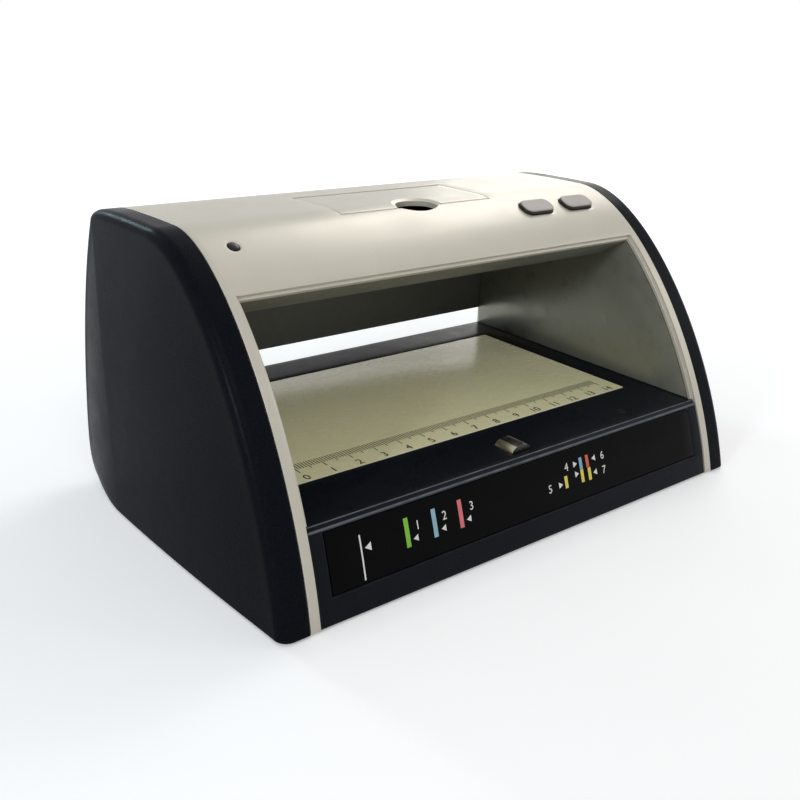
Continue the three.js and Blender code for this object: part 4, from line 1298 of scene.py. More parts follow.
@dataclass
class TopShell:
    """The arched silver shell: roof, webs down both sides, and the stepped lip round the opening."""

    plan: Plan
    wall: float = 2.5 * MM
    lip_width: float = 1.0 * MM
    lip_setback: float = 1.2 * MM
    lip_radius: float = 0.2 * MM
    rear_level: float = 86 * MM
    hinge_gap: float = 1.22 * MM
    finger_radius: float = 12.5 * MM
    finger_reach: float = 3.7 * MM
    finger_falloff: float = 8 * MM
    bay_margin: float = 0.5 * MM
    cut_step: float = 0.6 * MM
    button_half: tuple[float, float] = (7.8 * MM, 3.9 * MM)
    button_corner: float = 3.3 * MM
    button_margin: tuple[float, float] = (10.6 * MM, 7 * MM)
    lens_hole: float = 2.1 * MM
    lens_margin: float = 4.4 * MM
    seam_x: float = 34 * MM
    seam_y: float = 40 * MM
    seam_half: float = 0.12 * MM
    seam_depth: float = 0.45 * MM
    shoulder_y: float = 45 * MM
    shoulder_level: float = 80 * MM
    shoulder_step: float = 1 * MM
    web_gap: float = 0.4 * MM
    web_middle: float = 30 * MM
    web_samples: int = 400

    def opening_run(self) -> float:
        """Where the opening's upper edge lies along the outline."""
        return self.plan.outline.run_at_y(self.plan.opening_y)

    def bay(self) -> Recess:
        """The cut for the hatch, as a rectangle of the roof.

        Returns:
            The rectangle, with no depth.
        """
        low, high = extent("hatch")
        half = high[0] + CLEARANCE
        run = self.plan.outline.run_at_y
        return Recess((-half, half), (run(low[1] - CLEARANCE), run(high[1] + self.hinge_gap)))

    def finger_cut(self, flat: np.ndarray) -> np.ndarray:
        """Draws the bay's front edge forwards into the finger cut, c - sqrt(r^2 - x^2), fading ahead of it.

        Args:
            flat: the roof's (x, run) points.

        Returns:
            The moved points.
        """
        edge = self.bay().run[0]
        reach = np.sqrt(np.maximum(self.finger_radius**2 - flat[:, 0] ** 2, 0))
        pull = np.maximum(self.finger_reach - CLEARANCE - self.finger_radius + reach, 0)
        share = smooth(edge - self.finger_falloff, edge, flat[:, 1])
        share = np.where(flat[:, 1] > edge + self.bay_margin, 0, share)
        return np.column_stack([flat[:, 0], flat[:, 1] - pull * share])

    def roof(self) -> tuple[np.ndarray, list]:
        """The roof with its opening, hatch bay, rear seam, button holes and lens hole.

        Returns:
            The points and the faces.
        """
        plan, course = self.plan, self.plan.outline
        button_run = course.run_at_y(plan.opening_y + BUTTONS_BEHIND)
        holes = [Hole(x, button_run, self.button_margin, self.button_half, self.button_corner)
                 for x in BUTTON_PLACES.values()]
        lens_run = course.run_at_y(plan.opening_y + LENS_BEHIND)
        holes.append(Hole(LENS_INSET - plan.shell_half, lens_run, (self.lens_margin, self.lens_margin),
                          (self.lens_hole, self.lens_hole), self.lens_hole * ALMOST))
        opening = Recess((-plan.opening_half, plan.opening_half), (-1.0, self.opening_run()))
        rear_run = course.run_at_level(self.rear_level, rising=False)
        behind = Recess((-plan.web_inner, plan.web_inner), (rear_run, 1.0))
        seam_run = course.run_at_y(self.seam_y)
        seam_ends = (seam_run - self.seam_half, seam_run + self.seam_half)
        seam = Recess((-self.seam_x, self.seam_x), seam_ends, self.seam_depth)
        front = self.finger_radius - self.finger_reach + CLEARANCE
        cut_half = math.sqrt(self.finger_radius**2 - front**2)
        shoulder_end = course.run_at_level(self.shoulder_level, rising=False)
        shoulder = (course.run_at_y(self.shoulder_y), shoulder_end, self.shoulder_step)
        panel = Panel(course, (-plan.shell_half, plan.shell_half), (0.0, course.length), self.wall,
                      recesses=(opening, behind, self.bay(), seam), holes=tuple(holes),
                      fine_x=((-cut_half, cut_half, self.cut_step),), fine_run=(shoulder,))
        return panel.body(self.finger_cut)

    def web(self, hand: int) -> tuple[np.ndarray, list]:
        """One side web: the outline a wall's thickness inside, as a flat plate.

        Args:
            hand: 1 for the right and -1 for the left.

        Returns:
            The points and the faces.
        """
        plan = self.plan
        rim = plan.outline.place(np.linspace(0, plan.outline.length, self.web_samples), self.wall / 2)
        return side_wall(rim, self.web_middle, hand * plan.web_inner, hand * (plan.shell_half - self.web_gap))

    def lip(self) -> tuple[np.ndarray, list]:
        """The step that runs round the opening, set back from the outer face.

        Returns:
            The points and the faces.
        """
        plan = self.plan
        course = plan.outline.inside(self.lip_setback)
        half = plan.opening_half + self.lip_width / 2
        low = course.run_at_level(plan.deck + CLEARANCE)
        y, z = plan.outline.place(np.array([self.opening_run()]), self.lip_setback)[0]
        high = float(course.runs[np.argmin(np.linalg.norm(course.points - [y, z], axis=1))])
        gap = Recess((-plan.opening_half + self.lip_width, plan.opening_half - self.lip_width),
                     (-1.0, high - self.lip_width))
        panel = Panel(course, (-half, half), (low, high + self.lip_width), self.wall - self.lip_setback,
                      radius=self.lip_radius, recesses=(gap,))
        return panel.body()

    def build(self, shop: Workshop) -> None:
        """Makes the shell's one piece.

        Args:
            shop: the workshop.
        """
        parts = [self.roof(), self.web(1), self.web(-1), self.lip()]
        shop.piece("arched_shell", parts, SILVER, "housing", ("top_shell",), "silver_shell")


@dataclass
class SideCovers:
    """The hollow dark covers: a flat rim, a rounded crease that fades behind, and a domed face."""

    plan: Plan
    flat: float = 5.3 * MM
    crease: float = 3.8 * MM
    thickness: float = 12.3 * MM
    wall: float = 2.4 * MM
    dome_setback: float = 92 * MM
    heel_level: float = 25.3 * MM
    along: int = 300
    below: int = 60
    crease_rings: int = 11
    dome_rings: int = 25
    dome_softness: float = 0.06
    dome_spacing: float = 1.3

    def ring(self, inset: np.ndarray | float, level: float) -> np.ndarray:
        """One closed ring: the outline at an inset, cut to stand on a level, with its foot closed by a line.

        Args:
            inset: how far inside the outline the ring runs at each of its places.
            level: the level it stands on.

        Returns:
            The (y, z) rows.
        """
        course = self.plan.outline
        points = course.place(course.runs, inset)
        kept = points[points[:, 1] >= level - TINY]
        steps = np.concatenate([[0], np.cumsum(np.linalg.norm(np.diff(kept, axis=0), axis=1))])
        at = np.linspace(0, steps[-1], self.along)
        arch = np.column_stack([np.interp(at, steps, kept[:, k]) for k in (0, 1)])
        arch[[0, -1], 1] = level
        foot = np.linspace(arch[-1], arch[0], self.below + 2)[1:-1]
        return np.vstack([arch, foot])

    def skin(self, start: float, wall: float) -> tuple[list[float], list[np.ndarray]]:
        """The rings of one skin, from its rim out to the middle of its dome.

        The crease follows x = flat + r sin a and inset = r (1 - cos a); the dome bulges by
        g(1 - s^2) / g(1) of its height at a share s of the rim, with g(t) = t^2 / (t + 0.06).

        Args:
            start: the x of the rim.
            wall: how far inside the outer skin it lies.

        Returns:
            The x of each ring and its (y, z) rows.
        """
        course = self.plan.outline
        level = self.plan.bottom + wall
        y, z = course.points[:, 0], course.points[:, 1]
        share = np.where(y < 0, 1.0, smooth(self.plan.bottom, self.heel_level, z))
        radius = self.crease - wall
        places, rings = [start], [self.ring(wall, level)]
        for angle in np.linspace(0, QUARTER, self.crease_rings):
            places.append(start + self.flat + radius * math.sin(angle))
            rings.append(self.ring(wall + radius * (1 - math.cos(angle)) * share, level))
        middle = np.array([self.plan.outline.points[0, 0] + self.dome_setback, level])
        height = self.thickness - wall - self.flat - radius
        foot, rim = places[-1], rings[-1]
        for part in 1 - np.linspace(0, 1, self.dome_rings + 1)[1:] ** self.dome_spacing:
            rise = 1 - part * part
            bulge = rise * rise / (rise + self.dome_softness) * (1 + self.dome_softness)
            places.append(foot + height * bulge)
            rings.append(middle + (rim - middle) * part)
        return places, rings

    def cover(self, hand: int) -> tuple[np.ndarray, list]:
        """One cover: the inner skin from its middle to the rim, and on over the outer skin.

        Args:
            hand: 1 for the right and -1 for the left.

        Returns:
            The points and the faces.
        """
        start = self.plan.shell_half + CLEARANCE
        inner_places, inner_rings = self.skin(start, self.wall)
        outer_places, outer_rings = self.skin(start, 0.0)
        places = inner_places[::-1] + outer_places
        rings = inner_rings[::-1] + outer_rings
        count = self.along + self.below
        points = [np.column_stack([np.full(count, hand * x), ring]) for x, ring in zip(places, rings)]
        return np.vstack(points), [grid_faces(len(places), count, closed=True)]

    def build(self, shop: Workshop) -> None:
        """Makes both covers.

        Args:
            shop: the workshop.
        """
        for side, hand in (("right", 1), ("left", -1)):
            parts = [self.cover(hand)]
            shop.piece(f"{side}_cover", parts, DARK, "housing", (f"{side}_side_cover",), "dark_body")


@dataclass
class Hatch:
    """The lift-up lid with its bevelled finger notch and its rounded hinge edge."""

    plan: Plan
    thickness: float = 2.5 * MM
    notch: float = 8.6 * MM
    bevel: float = 1.5 * MM
    bevel_depth: float = 0.7 * MM
    rim: float = 0.3 * MM
    step: float = 3 * MM
    notch_points: int = 41
    lid_rows: int = 14
    hinge_rows: int = 8

    def columns(self, half: float) -> np.ndarray:
        """The lid's lines in x: fine at its sides and spaced like a cosine in the notch.

        Args:
            half: half the lid's width.

        Returns:
            The lines.
        """
        wide = self.notch + self.bevel
        arcs = [radius * np.sin(np.linspace(-QUARTER, QUARTER, self.notch_points))
                for radius in (self.notch, wide)]
        side = half - self.rim * np.array(EDGE_SHARES)
        plain = np.arange(wide, half - self.step / 2, self.step)
        return np.unique(np.round(np.concatenate([*arcs, side, -side, plain, -plain]), 7))

    def lid(self) -> tuple[np.ndarray, list]:
        """The lid as an outer and an inner sheet that meet in the half-round hinge edge.

        A place behind the hinge line by b lies at depth half +- sqrt(half^2 - b^2) on its two sheets.

        Returns:
            The points and the faces.
        """
        low, high = extent("hatch")
        course = self.plan.outline
        front, hinge = course.run_at_y(low[1]), course.run_at_y(high[1] - self.thickness / 2)
        x = self.columns(high[0])
        wide = self.notch + self.bevel
        wall_edge = front + np.sqrt(np.maximum(self.notch**2 - x**2, 0))
        bevel_edge = front + np.sqrt(np.maximum(wide**2 - x**2, 0))
        beside = np.abs(x) > wide
        rows, drops = [wall_edge], [self.bevel_depth * np.clip((wide - np.abs(x)) / self.bevel, 0, 1)]
        for share in EDGE_SHARES:
            rows.append(bevel_edge + share * self.rim)
            drops.append(np.where(beside, rounding(share * self.rim, self.rim), 0.0))
        drops[0] = np.maximum(drops[0], np.where(beside, self.rim, 0.0))
        start = rows[-1]
        for share in np.linspace(0, 1, self.lid_rows + 1)[1:]:
            rows.append(start + (hinge - start) * share)
            drops.append(np.zeros(len(x)))
        half = self.thickness / 2
        for angle in np.linspace(0, QUARTER, self.hinge_rows + 1)[1:]:
            rows.append(np.full(len(x), hinge + half * math.sin(angle)))
            drops.append(np.full(len(x), half * (1 - math.cos(angle))))
        flat = np.column_stack([np.tile(x, len(rows)), np.concatenate(rows)])
        drop = np.concatenate(drops)
        outer = np.maximum(drop, rounding(high[0] - np.abs(flat[:, 0]), self.rim))
        behind = np.clip(flat[:, 1] - hinge, 0, half)
        inner = half + np.sqrt(np.maximum(half**2 - behind**2, 0))
        faces = grid_faces(len(rows), len(x))
        top = on_course(course, flat, np.minimum(outer, inner))
        return closed_plate(top, on_course(course, flat, inner), faces)

    def build(self, shop: Workshop) -> None:
        """Makes the lid."""
        shop.piece("hatch_lid", [self.lid()], SILVER, "hatch", ("hatch",), "silver_shell")


@dataclass
class Base:
    """The dark base: front, bevelled deck and rear in one formed wall, with its recesses and holes."""

    plan: Plan
    setback: float = 0.5 * MM
    chamfer: float = 1.2 * MM
    corner: float = 0.4 * MM
    wall: float = 2.4 * MM
    softness: float = 5 * MM
    step: tuple[float, float] = (8 * MM, 3 * MM)
    label_depth: float = 0.9 * MM
    slot_depth: float = 3 * MM
    eye_radius: float = 1.65 * MM
    eye_margin: float = 4 * MM
    jack: tuple[float, float] = (66.5 * MM, 14 * MM)
    jack_radius: float = 4.2 * MM
    jack_margin: float = 7 * MM
    bevel_reach: float = 2 * MM
    bevel_gap: float = 0.02 * MM
    bevel_step: float = 0.12 * MM
    cheek_gap: float = 0.1 * MM
    cheek_middle: float = 10 * MM
    cheek_samples: int = 400
    rise_samples: int = 300
    fall_samples: int = 200
    bend_points: int = 12
    samples: int = 6000

    def course(self) -> Course:
        """The base's side line: the outline a setback inside up to the deck, with rounded bevel corners.

        Returns:
            The course.
        """
        outer = self.plan.outline.inside(self.setback)
        deck = self.plan.deck
        near, far = (outer.run_at_level(deck - self.chamfer, rising) for rising in (True, False))
        rise = outer.place(np.linspace(0, near, self.rise_samples))
        fall = outer.place(np.linspace(far, outer.length, self.fall_samples))
        corners = np.array([rise[-1], rise[-1] + self.chamfer, [fall[0, 0] - self.chamfer, deck], fall[0]])
        path = np.vstack([rise[-2], corners, fall[1]])
        bends = []
        for before, here, after in zip(path, path[1:], path[2:]):
            ways = [(other - here) / np.linalg.norm(other - here) for other in (before, after)]
            ends = [here + way * self.corner for way in ways]
            bends.append(bezier(np.array([ends[0], here, ends[1]]), self.bend_points))
        keep_rise = rise[np.linalg.norm(rise - corners[0], axis=1) > self.corner]
        keep_fall = fall[np.linalg.norm(fall - corners[-1], axis=1) > self.corner]
        points = np.vstack([keep_rise, *bends, keep_fall])
        return Course(points, softness=self.softness, samples=self.samples)

    def panel(self, course: Course) -> Panel:
        """The formed wall with the label recess, the plate's seat, the head's slot and two holes.

        Args:
            course: the base's course.

        Returns:
            The panel.
        """
        run, level = course.run_at_y, course.run_at_level
        half = float(extent("base_tray")[1][0])
        label_low, label_high = extent("front_label")
        ends = (level(label_low[2] - CLEARANCE), level(label_high[2] + CLEARANCE))
        label = Recess((label_low[0] - CLEARANCE, label_high[0] + CLEARANCE), ends, self.label_depth)
        plate_height = np.ptp([corner[2] for corner in extent("ruler_plate")])
        plate = self.seat("ruler_plate", run, plate_height + CLEARANCE)
        slot = self.seat("magnetic_head", run, self.slot_depth)
        eye = sum(extent("sensor_lens")) / 2
        jack_x, jack_level = self.jack
        holes = (self.bore(eye[0], run(eye[1]), self.eye_margin, self.eye_radius),
                 self.bore(jack_x, level(jack_level, rising=False), self.jack_margin, self.jack_radius))
        deck = self.plan.deck
        levels = (deck - self.bevel_reach, deck - self.bevel_gap)
        bevels = [[level(z, rising) for z in levels] for rising in (True, False)]
        fine = tuple((min(ends), max(ends), self.bevel_step) for ends in bevels)
        return Panel(course, (-half, half), (0.0, course.length), self.wall, step=self.step,
                     recesses=(label, plate, slot), holes=holes, fine_run=fine)

    def seat(self, node: str, run: object, depth: float) -> Recess:
        """The recess in the deck that a CAD node stands in, a clearance wider all round.

        Args:
            node: the node's name.
            run: the function from y to the length along the base's course.
            depth: the recess's depth.

        Returns:
            The recess.
        """
        low, high = extent(node)
        ends = (run(low[1] - CLEARANCE), run(high[1] + CLEARANCE))
        return Recess((low[0] - CLEARANCE, high[0] + CLEARANCE), ends, depth)

    def bore(self, x: float, run: float, margin: float, radius: float) -> Hole:
        """A round hole with the same margin and radius both ways."""
        return Hole(x, run, (margin, margin), (radius, radius), radius - HAIR)

    def cheek(self, course: Course, hand: int) -> tuple[np.ndarray, list]:
        """The side wall that closes the base inside the shell.

        Args:
            course: the base's course.
            hand: 1 for the right and -1 for the left.

        Returns:
            The points and the faces.
        """
        half = float(extent("base_tray")[1][0])
        rim = course.place(np.linspace(0, course.length, self.cheek_samples), self.wall / 2)
        return side_wall(rim, self.cheek_middle, hand * (half - self.wall), hand * (half - self.cheek_gap))

    def build(self, shop: Workshop) -> None:
        """Makes the base's one piece.

        Args:
            shop: the workshop.
        """
        course = self.course()
        parts = [self.panel(course).body(), self.cheek(course, 1), self.cheek(course, -1)]
        front = course.run_at_level(self.plan.deck - self.chamfer)
        near = float(course.place(np.array([front]))[0, 0])
        # Painted highlights: two lighter lines along the edges of the front chamfer.
        finish = replace(DARK_DECK, highlight_lines_y=(near, near + self.chamfer))
        shop.piece("deck_base", parts, finish, "housing", ("base_tray",), "dark_body")


@dataclass(frozen=True)
class Mark:
    """One upright colour bar of the label: its middle, its two ends, its width and its ink."""

    x: float
    low: float
    high: float
    width: float
    ink: Ink


@dataclass(frozen=True)
class Arrow:
    """One small pointer of the label: its middle, its height and the side that it points to."""

    x: float
    z: float
    size: float
    hand: int


@dataclass
class FrontLabel:
    """The glossy label along the front with its colour bars, pointers and plain numbers."""

    plan: Plan
    depth: float = 0.6 * MM
    thickness: float = 0.5 * MM
    digit: float = 2.6 * MM
    end_gap: float = 0.02 * MM
    radius: float = 0.15 * MM
    step: tuple[float, float] = (6 * MM, 1.5 * MM)
    arrow_shape: tuple[float, float] = (0.45, 0.5)
    bars: tuple[Mark, ...] = (
        Mark(-71.8, 9.4, 21.6, 0.5, Ink.WHITE), Mark(-55.0, 13.7, 21.8, 1.6, Ink.GREEN),
        Mark(-44.4, 13.7, 21.7, 1.6, Ink.PALE_BLUE), Mark(-33.9, 13.6, 21.7, 1.6, Ink.PINK),
        Mark(13.4, 13.7, 17.5, 1.4, Ink.YELLOW), Mark(21.5, 17.9, 21.6, 1.4, Ink.BLUE),
        Mark(21.5, 13.7, 17.8, 1.4, Ink.YELLOW), Mark(24.8, 17.8, 21.7, 1.4, Ink.RED),
        Mark(25.2, 13.6, 17.6, 1.4, Ink.YELLOW))
    arrows: tuple[Arrow, ...] = (
        Arrow(-69.4, 17.8, 2.5, -1), Arrow(-52.1, 15.5, 2, -1), Arrow(-41.2, 15.4, 2, -1),
        Arrow(-30.9, 15.4, 2, -1), Arrow(18.8, 20.1, 2, 1), Arrow(10.7, 15.3, 2, 1),
        Arrow(19.0, 16.9, 2, 1), Arrow(28.0, 20.0, 2, -1), Arrow(27.9, 15.5, 2, -1))
    numbers: tuple[tuple[str, float, float], ...] = (
        ("1", -50.8, 18.9), ("2", -40.3, 18.9), ("3", -29.2, 18.9), ("4", 14.4, 20.1), ("5", 5.5, 15.2),
        ("6", 32.6, 20.0), ("7", 32.6, 15.3))

    def course(self) -> Course:
        """The course of the label's face."""
        return self.plan.outline.inside(self.depth)

    def panel(self, course: Course) -> tuple[np.ndarray, list]:
        """The label's own sheet.

        Args:
            course: the course of its face.

        Returns:
            The points and the faces.
        """
        low, high = extent("front_label")
        run = (course.run_at_level(low[2] + self.end_gap), course.run_at_level(high[2] - self.end_gap))
        panel = Panel(course, (low[0], high[0]), run, self.thickness, radius=self.radius, step=self.step)
        return panel.body()

    def build(self, shop: Workshop) -> None:
        """Makes the label and one piece for each ink printed on it.

        Args:
            shop: the workshop.
        """
        course = self.course()
        shop.piece("label_film", [self.panel(course)], LABEL, "housing", ("front_label",), "label_panel")
        prints: dict[Ink, list] = {}
        for bar in self.bars:
            ends = [course.run_at_level(z * MM) for z in (bar.low, bar.high)]
            flat, faces = strip((bar.x - bar.width / 2) * MM, (bar.x + bar.width / 2) * MM, *ends)
            prints.setdefault(bar.ink, []).append(film(course, flat, faces))
        white = prints[Ink.WHITE]
        for arrow in self.arrows:
            middle = np.array([arrow.x * MM, course.run_at_level(arrow.z * MM)])
            corners = np.array([[arrow.hand, 0], [-arrow.hand, 1], [-arrow.hand, -1]])
            corners = corners * self.arrow_shape * arrow.size * MM
            face = np.array([[0, 1, 2] if arrow.hand > 0 else [0, 2, 1]])
            white.append(film(course, middle + corners, face))
        for text, x, z in self.numbers:
            flat, faces = number_shape(text, self.digit)
            white.append(film(course, flat + [x * MM, course.run_at_level(z * MM)], faces))
        for ink, parts in prints.items():
            shop.piece(f"label_print_{ink.name.lower()}", parts, ink, "housing", (), "label_panel")


@dataclass
class Ruler:
    """The print on the lit plate: a millimetre scale and its plain numbers."""

    plan: Plan
    zero: float = -70 * MM
    far: float = -19.1 * MM
    tick: float = 0.3 * MM
    lengths: tuple[float, float, float] = (3.6 * MM, 4.8 * MM, 6.0 * MM)
    number_y: float = -28.5 * MM
    digit: float = 3.1 * MM
    last: int = 14
    plate_edge: float = 0.35 * MM

    def course(self) -> Course:
        """The plate's face as a level course from front to rear."""
        low, high = extent("ruler_plate")
        return Course(np.array([[low[1], high[2]], [high[1], high[2]]]))

    def build(self, shop: Workshop) -> None:
        """Dresses the plate and prints its ticks and numbers.

        Args:
            shop: the workshop.
        """
        shop.dress("ruler_plate", OpalPlate(), edge=self.plate_edge, segments=3)
        course = self.course()
        start = float(extent("ruler_plate")[0][1])
        x = self.zero + np.arange(self.last * 10 + 1) * MM
        kind = np.where(np.arange(len(x)) % 10 == 0, 2, np.where(np.arange(len(x)) % 5 == 0, 1, 0))
        near = self.far - np.array(self.lengths)[kind] - start
        left, right, far = x - self.tick / 2, x + self.tick / 2, np.full(len(x), self.far - start)
        flat = np.stack([left, near, right, near, right, far, left, far], axis=1).reshape(-1, 2)
        ticks = film(course, flat, np.arange(4 * len(x)).reshape(-1, 4))
        shop.piece("ruler_ticks", [ticks], Ink.RULER, "housing", (), "opal_plate")
        parts = []
        for number in range(self.last + 1):
            shape, faces = number_shape(str(number), self.digit)
            middle = [self.zero + number * CENTIMETRE, self.number_y - start]
            parts.append(film(course, shape + middle, faces))
        shop.piece("ruler_numbers", parts, Ink.NUMERAL, "housing", (), "opal_plate")


@dataclass
class PushButton:
    """One rounded push button: cap with softened edge, flange under the roof, and nib."""

    node: str
    plan: Plan
    half: tuple[float, float] = (7.5 * MM, 3.6 * MM)
    corner: float = 3.0 * MM
    proud: float = 1.4 * MM
    edge: float = 0.5 * MM
    flange: tuple[float, float] = (-4.1 * MM, -3.1 * MM)
    lap: float = 1 * MM
    nib: tuple[float, float] = (1.5 * MM, -4.9 * MM)
    tip: float = 1e-5
    corner_points: int = 9
    edge_points: int = 7
    top_shares: tuple[float, ...] = (0.8, 0.5, 0.25, 0.0)
    top_colour: tuple[float, float, float] = (0.585, 0.545, 0.515)
    # Dark sides: partly the sides' own colour and partly painted shade from the gap round the cap.
    shaded_side_colour: tuple[float, float, float] = (0.03, 0.028, 0.028)

    def rings(self) -> list[tuple[tuple[float, float], float, float]]:
        """The ring sizes from the nib's end, over the flange and the cap's sides, to the cap's middle.

        Returns:
            (half sizes, corner radius, height) of each ring.
        """
        radius, end = self.nib
        low, high = self.flange
        wide = (self.half[0] + self.lap, self.half[1] + self.lap)
        rings = [((self.tip, self.tip), self.tip * ALMOST, end), ((radius, radius), radius * ALMOST, end),
                 ((radius, radius), radius * ALMOST, low), (wide, self.corner + self.lap, low),
                 (wide, self.corner + self.lap, high), (self.half, self.corner, high)]
        for angle in np.linspace(0, QUARTER, self.edge_points):
            drawn = self.edge * (1 - math.cos(angle))
            rings.append(((self.half[0] - drawn, self.half[1] - drawn), self.corner - drawn,
                          self.proud - self.edge + self.edge * math.sin(angle)))
        flat = (self.half[0] - self.edge, self.half[1] - self.edge)
        for share in self.top_shares:
            size = (flat[0] - flat[1] * (1 - share), flat[1] * share)
            rings.append((size, (self.corner - self.edge) * share, self.proud))
        return rings

    def build(self, shop: Workshop) -> None:
        """Makes the button on its slope, facing along its joint's axis.

        Args:
            shop: the workshop.
        """
        joint = next(joint for joint in frame["joints"] if joint["child"] == self.node)
        up = -np.array(joint["axis"], float)
        points, faces = stacked_rings(self.rings(), self.corner_points)
        course = self.plan.outline
        y, z = course.place(np.array([course.run_at_y(self.plan.opening_y + BUTTONS_BEHIND)]))[0]
        placed = on_slope(points, np.array([BUTTON_PLACES[self.node], y, z]), up)
        # Painted shade: the cap's sides take the dark side colour, which partly stands for shade in the gap round
        # it.
        facing_colours = FacingColours(f"{self.node}_paint", self.top_colour, self.shaded_side_colour, tuple(up.tolist()))
        shop.piece(f"{self.node}_cap", [(placed, faces)], facing_colours, self.node, (self.node,), "button_taupe")


@dataclass
class Indicator:
    """The small dark lens at the shell's upper left."""

    plan: Plan
    radius: float = 1.8 * MM
    dome: float = 0.5 * MM
    body_depth: float = 2.5 * MM
    sink: float = 0.2 * MM
    sides: int = 40
    crown_points: int = 10
    tip: float = 1e-5

    def build(self, shop: Workshop) -> None:
        """Makes the lens, square to the shell's slope.

        Args:
            shop: the workshop.
        """
        angles = np.linspace(0, QUARTER, self.crown_points)
        crown = np.column_stack([self.radius * np.cos(angles), self.dome * np.sin(angles) - self.sink])
        profile = np.vstack([[self.tip, -self.body_depth], [self.radius, -self.body_depth], crown])
        profile[:, 0] = np.maximum(profile[:, 0], self.tip)
        points, faces = turned(profile, self.sides)
        course = self.plan.outline
        run = np.array([course.run_at_y(self.plan.opening_y + LENS_BEHIND)])
        (y, z), (deep_y, deep_z) = course.place(run)[0], course.place(run, 1.0)[0]
        up = -np.array([0.0, deep_y - y, deep_z - z])
        placed = on_slope(points, np.array([LENS_INSET - self.plan.shell_half, y, z]), up)
        shop.piece("status_lens", [(placed, faces)], LENS, "housing", ("indicator_lens",), "dark_lens")


@dataclass
class RearCover:
    """The dark rear panel over the slot that notes pass through."""

    plan: Plan
    wall: float = 2.4 * MM
    inner_colour: tuple[float, float, float] = (0.34, 0.34, 0.325)

    def build(self, shop: Workshop) -> None:
        """Makes the panel, paler on the side that faces the chamber.

        Args:
            shop: the workshop.
        """
        low, high = extent("rear_cover")
        course = self.plan.outline
        run = (course.run_at_level(high[2], rising=False), course.run_at_level(low[2], rising=False))
        panel = Panel(course, (low[0], high[0]), run, self.wall)
        facing_colours = FacingColours("rear_panel_paint", self.inner_colour, DARK.colour, (0.0, -1.0, 0.0))
        shop.piece("rear_panel", [panel.body()], facing_colours, "housing", ("rear_cover",), "dark_body")


@dataclass
class Inside:
    """Everything that keeps its CAD shape, dressed by its material slot."""

    edges: dict[str, float] = field(default_factory=lambda: {
        "lamp_housing": 0.35 * MM, "right_chamber_wall": 0.3 * MM, "left_chamber_wall": 0.3 * MM,
        "magnetic_head": 0.3 * MM, "head_core": 0.25 * MM, "head_holder": 0.2 * MM, "hatch_tray": 0.4 * MM,
        "floor_plate": 0.4 * MM, "supply_jack": 0.3 * MM, "main_board": 0.1 * MM, "button_board": 0.1 * MM})
    dark_middle: tuple[float, float] = (0.22, 0.62)

    def finish(self, slot: str) -> object:
        """The finish that dresses a material slot."""
        table = {"dark_body": DARK, "chamber_liner": LINER, "lamp_grey": LAMP_GREY, "dark_lens": LENS,
                 "white_plastic": WHITE, "violet_filter": FilterGlass(), "circuit_board": CircuitBoard(),
                 "black_plastic": BLACK, "bright_steel": STEEL, "foot_rubber": RUBBER}
        return table[slot]

    def shield(self) -> HeadShield:
        """The head's finish, dark between two shares of its width.

        Returns:
            The finish.
        """
        low, high = (float(corner[0]) for corner in extent("magnetic_head"))
        start, end = (low + share * (high - low) for share in self.dark_middle)
        return HeadShield("head_shield", (start, end))

    def build(self, shop: Workshop) -> None:
        """Dresses each CAD node that no new piece stands for and that isn't dressed yet.

        Args:
            shop: the workshop.
        """
        for row in frame["record"]["subparts"]:
            node, slot = row["node"], row["material_slot"]
            if node not in shop.seen_to:
                finish = self.shield() if node == "magnetic_head" else self.finish(slot)
                shop.dress(node, finish, self.edges.get(node, 0.0))


# Stage, light and camera


@dataclass(frozen=True)
class Softbox:
    """One square area light: its place, its size, its power and its tint."""

    name: str
    place: tuple[float, float, float]
    size: float
    power: float
    colour: tuple[float, float, float] = (1.0, 1.0, 1.0)
    aim: tuple[float, float, float] = (0.0, 0.0, 0.05)

    def build(self) -> None:
        """Adds the light, turned to face its aim."""
        light = bpy.data.lights.new(self.name, "AREA")
        light.shape = "SQUARE"
        light.size = self.size
        light.energy = self.power
        light.color = self.colour
        thing = bpy.data.objects.new(self.name, light)
        bpy.context.scene.collection.objects.link(thing)
        thing.location = self.place
        thing.rotation_euler = (Vector(self.aim) - Vector(self.place)).to_track_quat("-Z", "Y").to_euler()


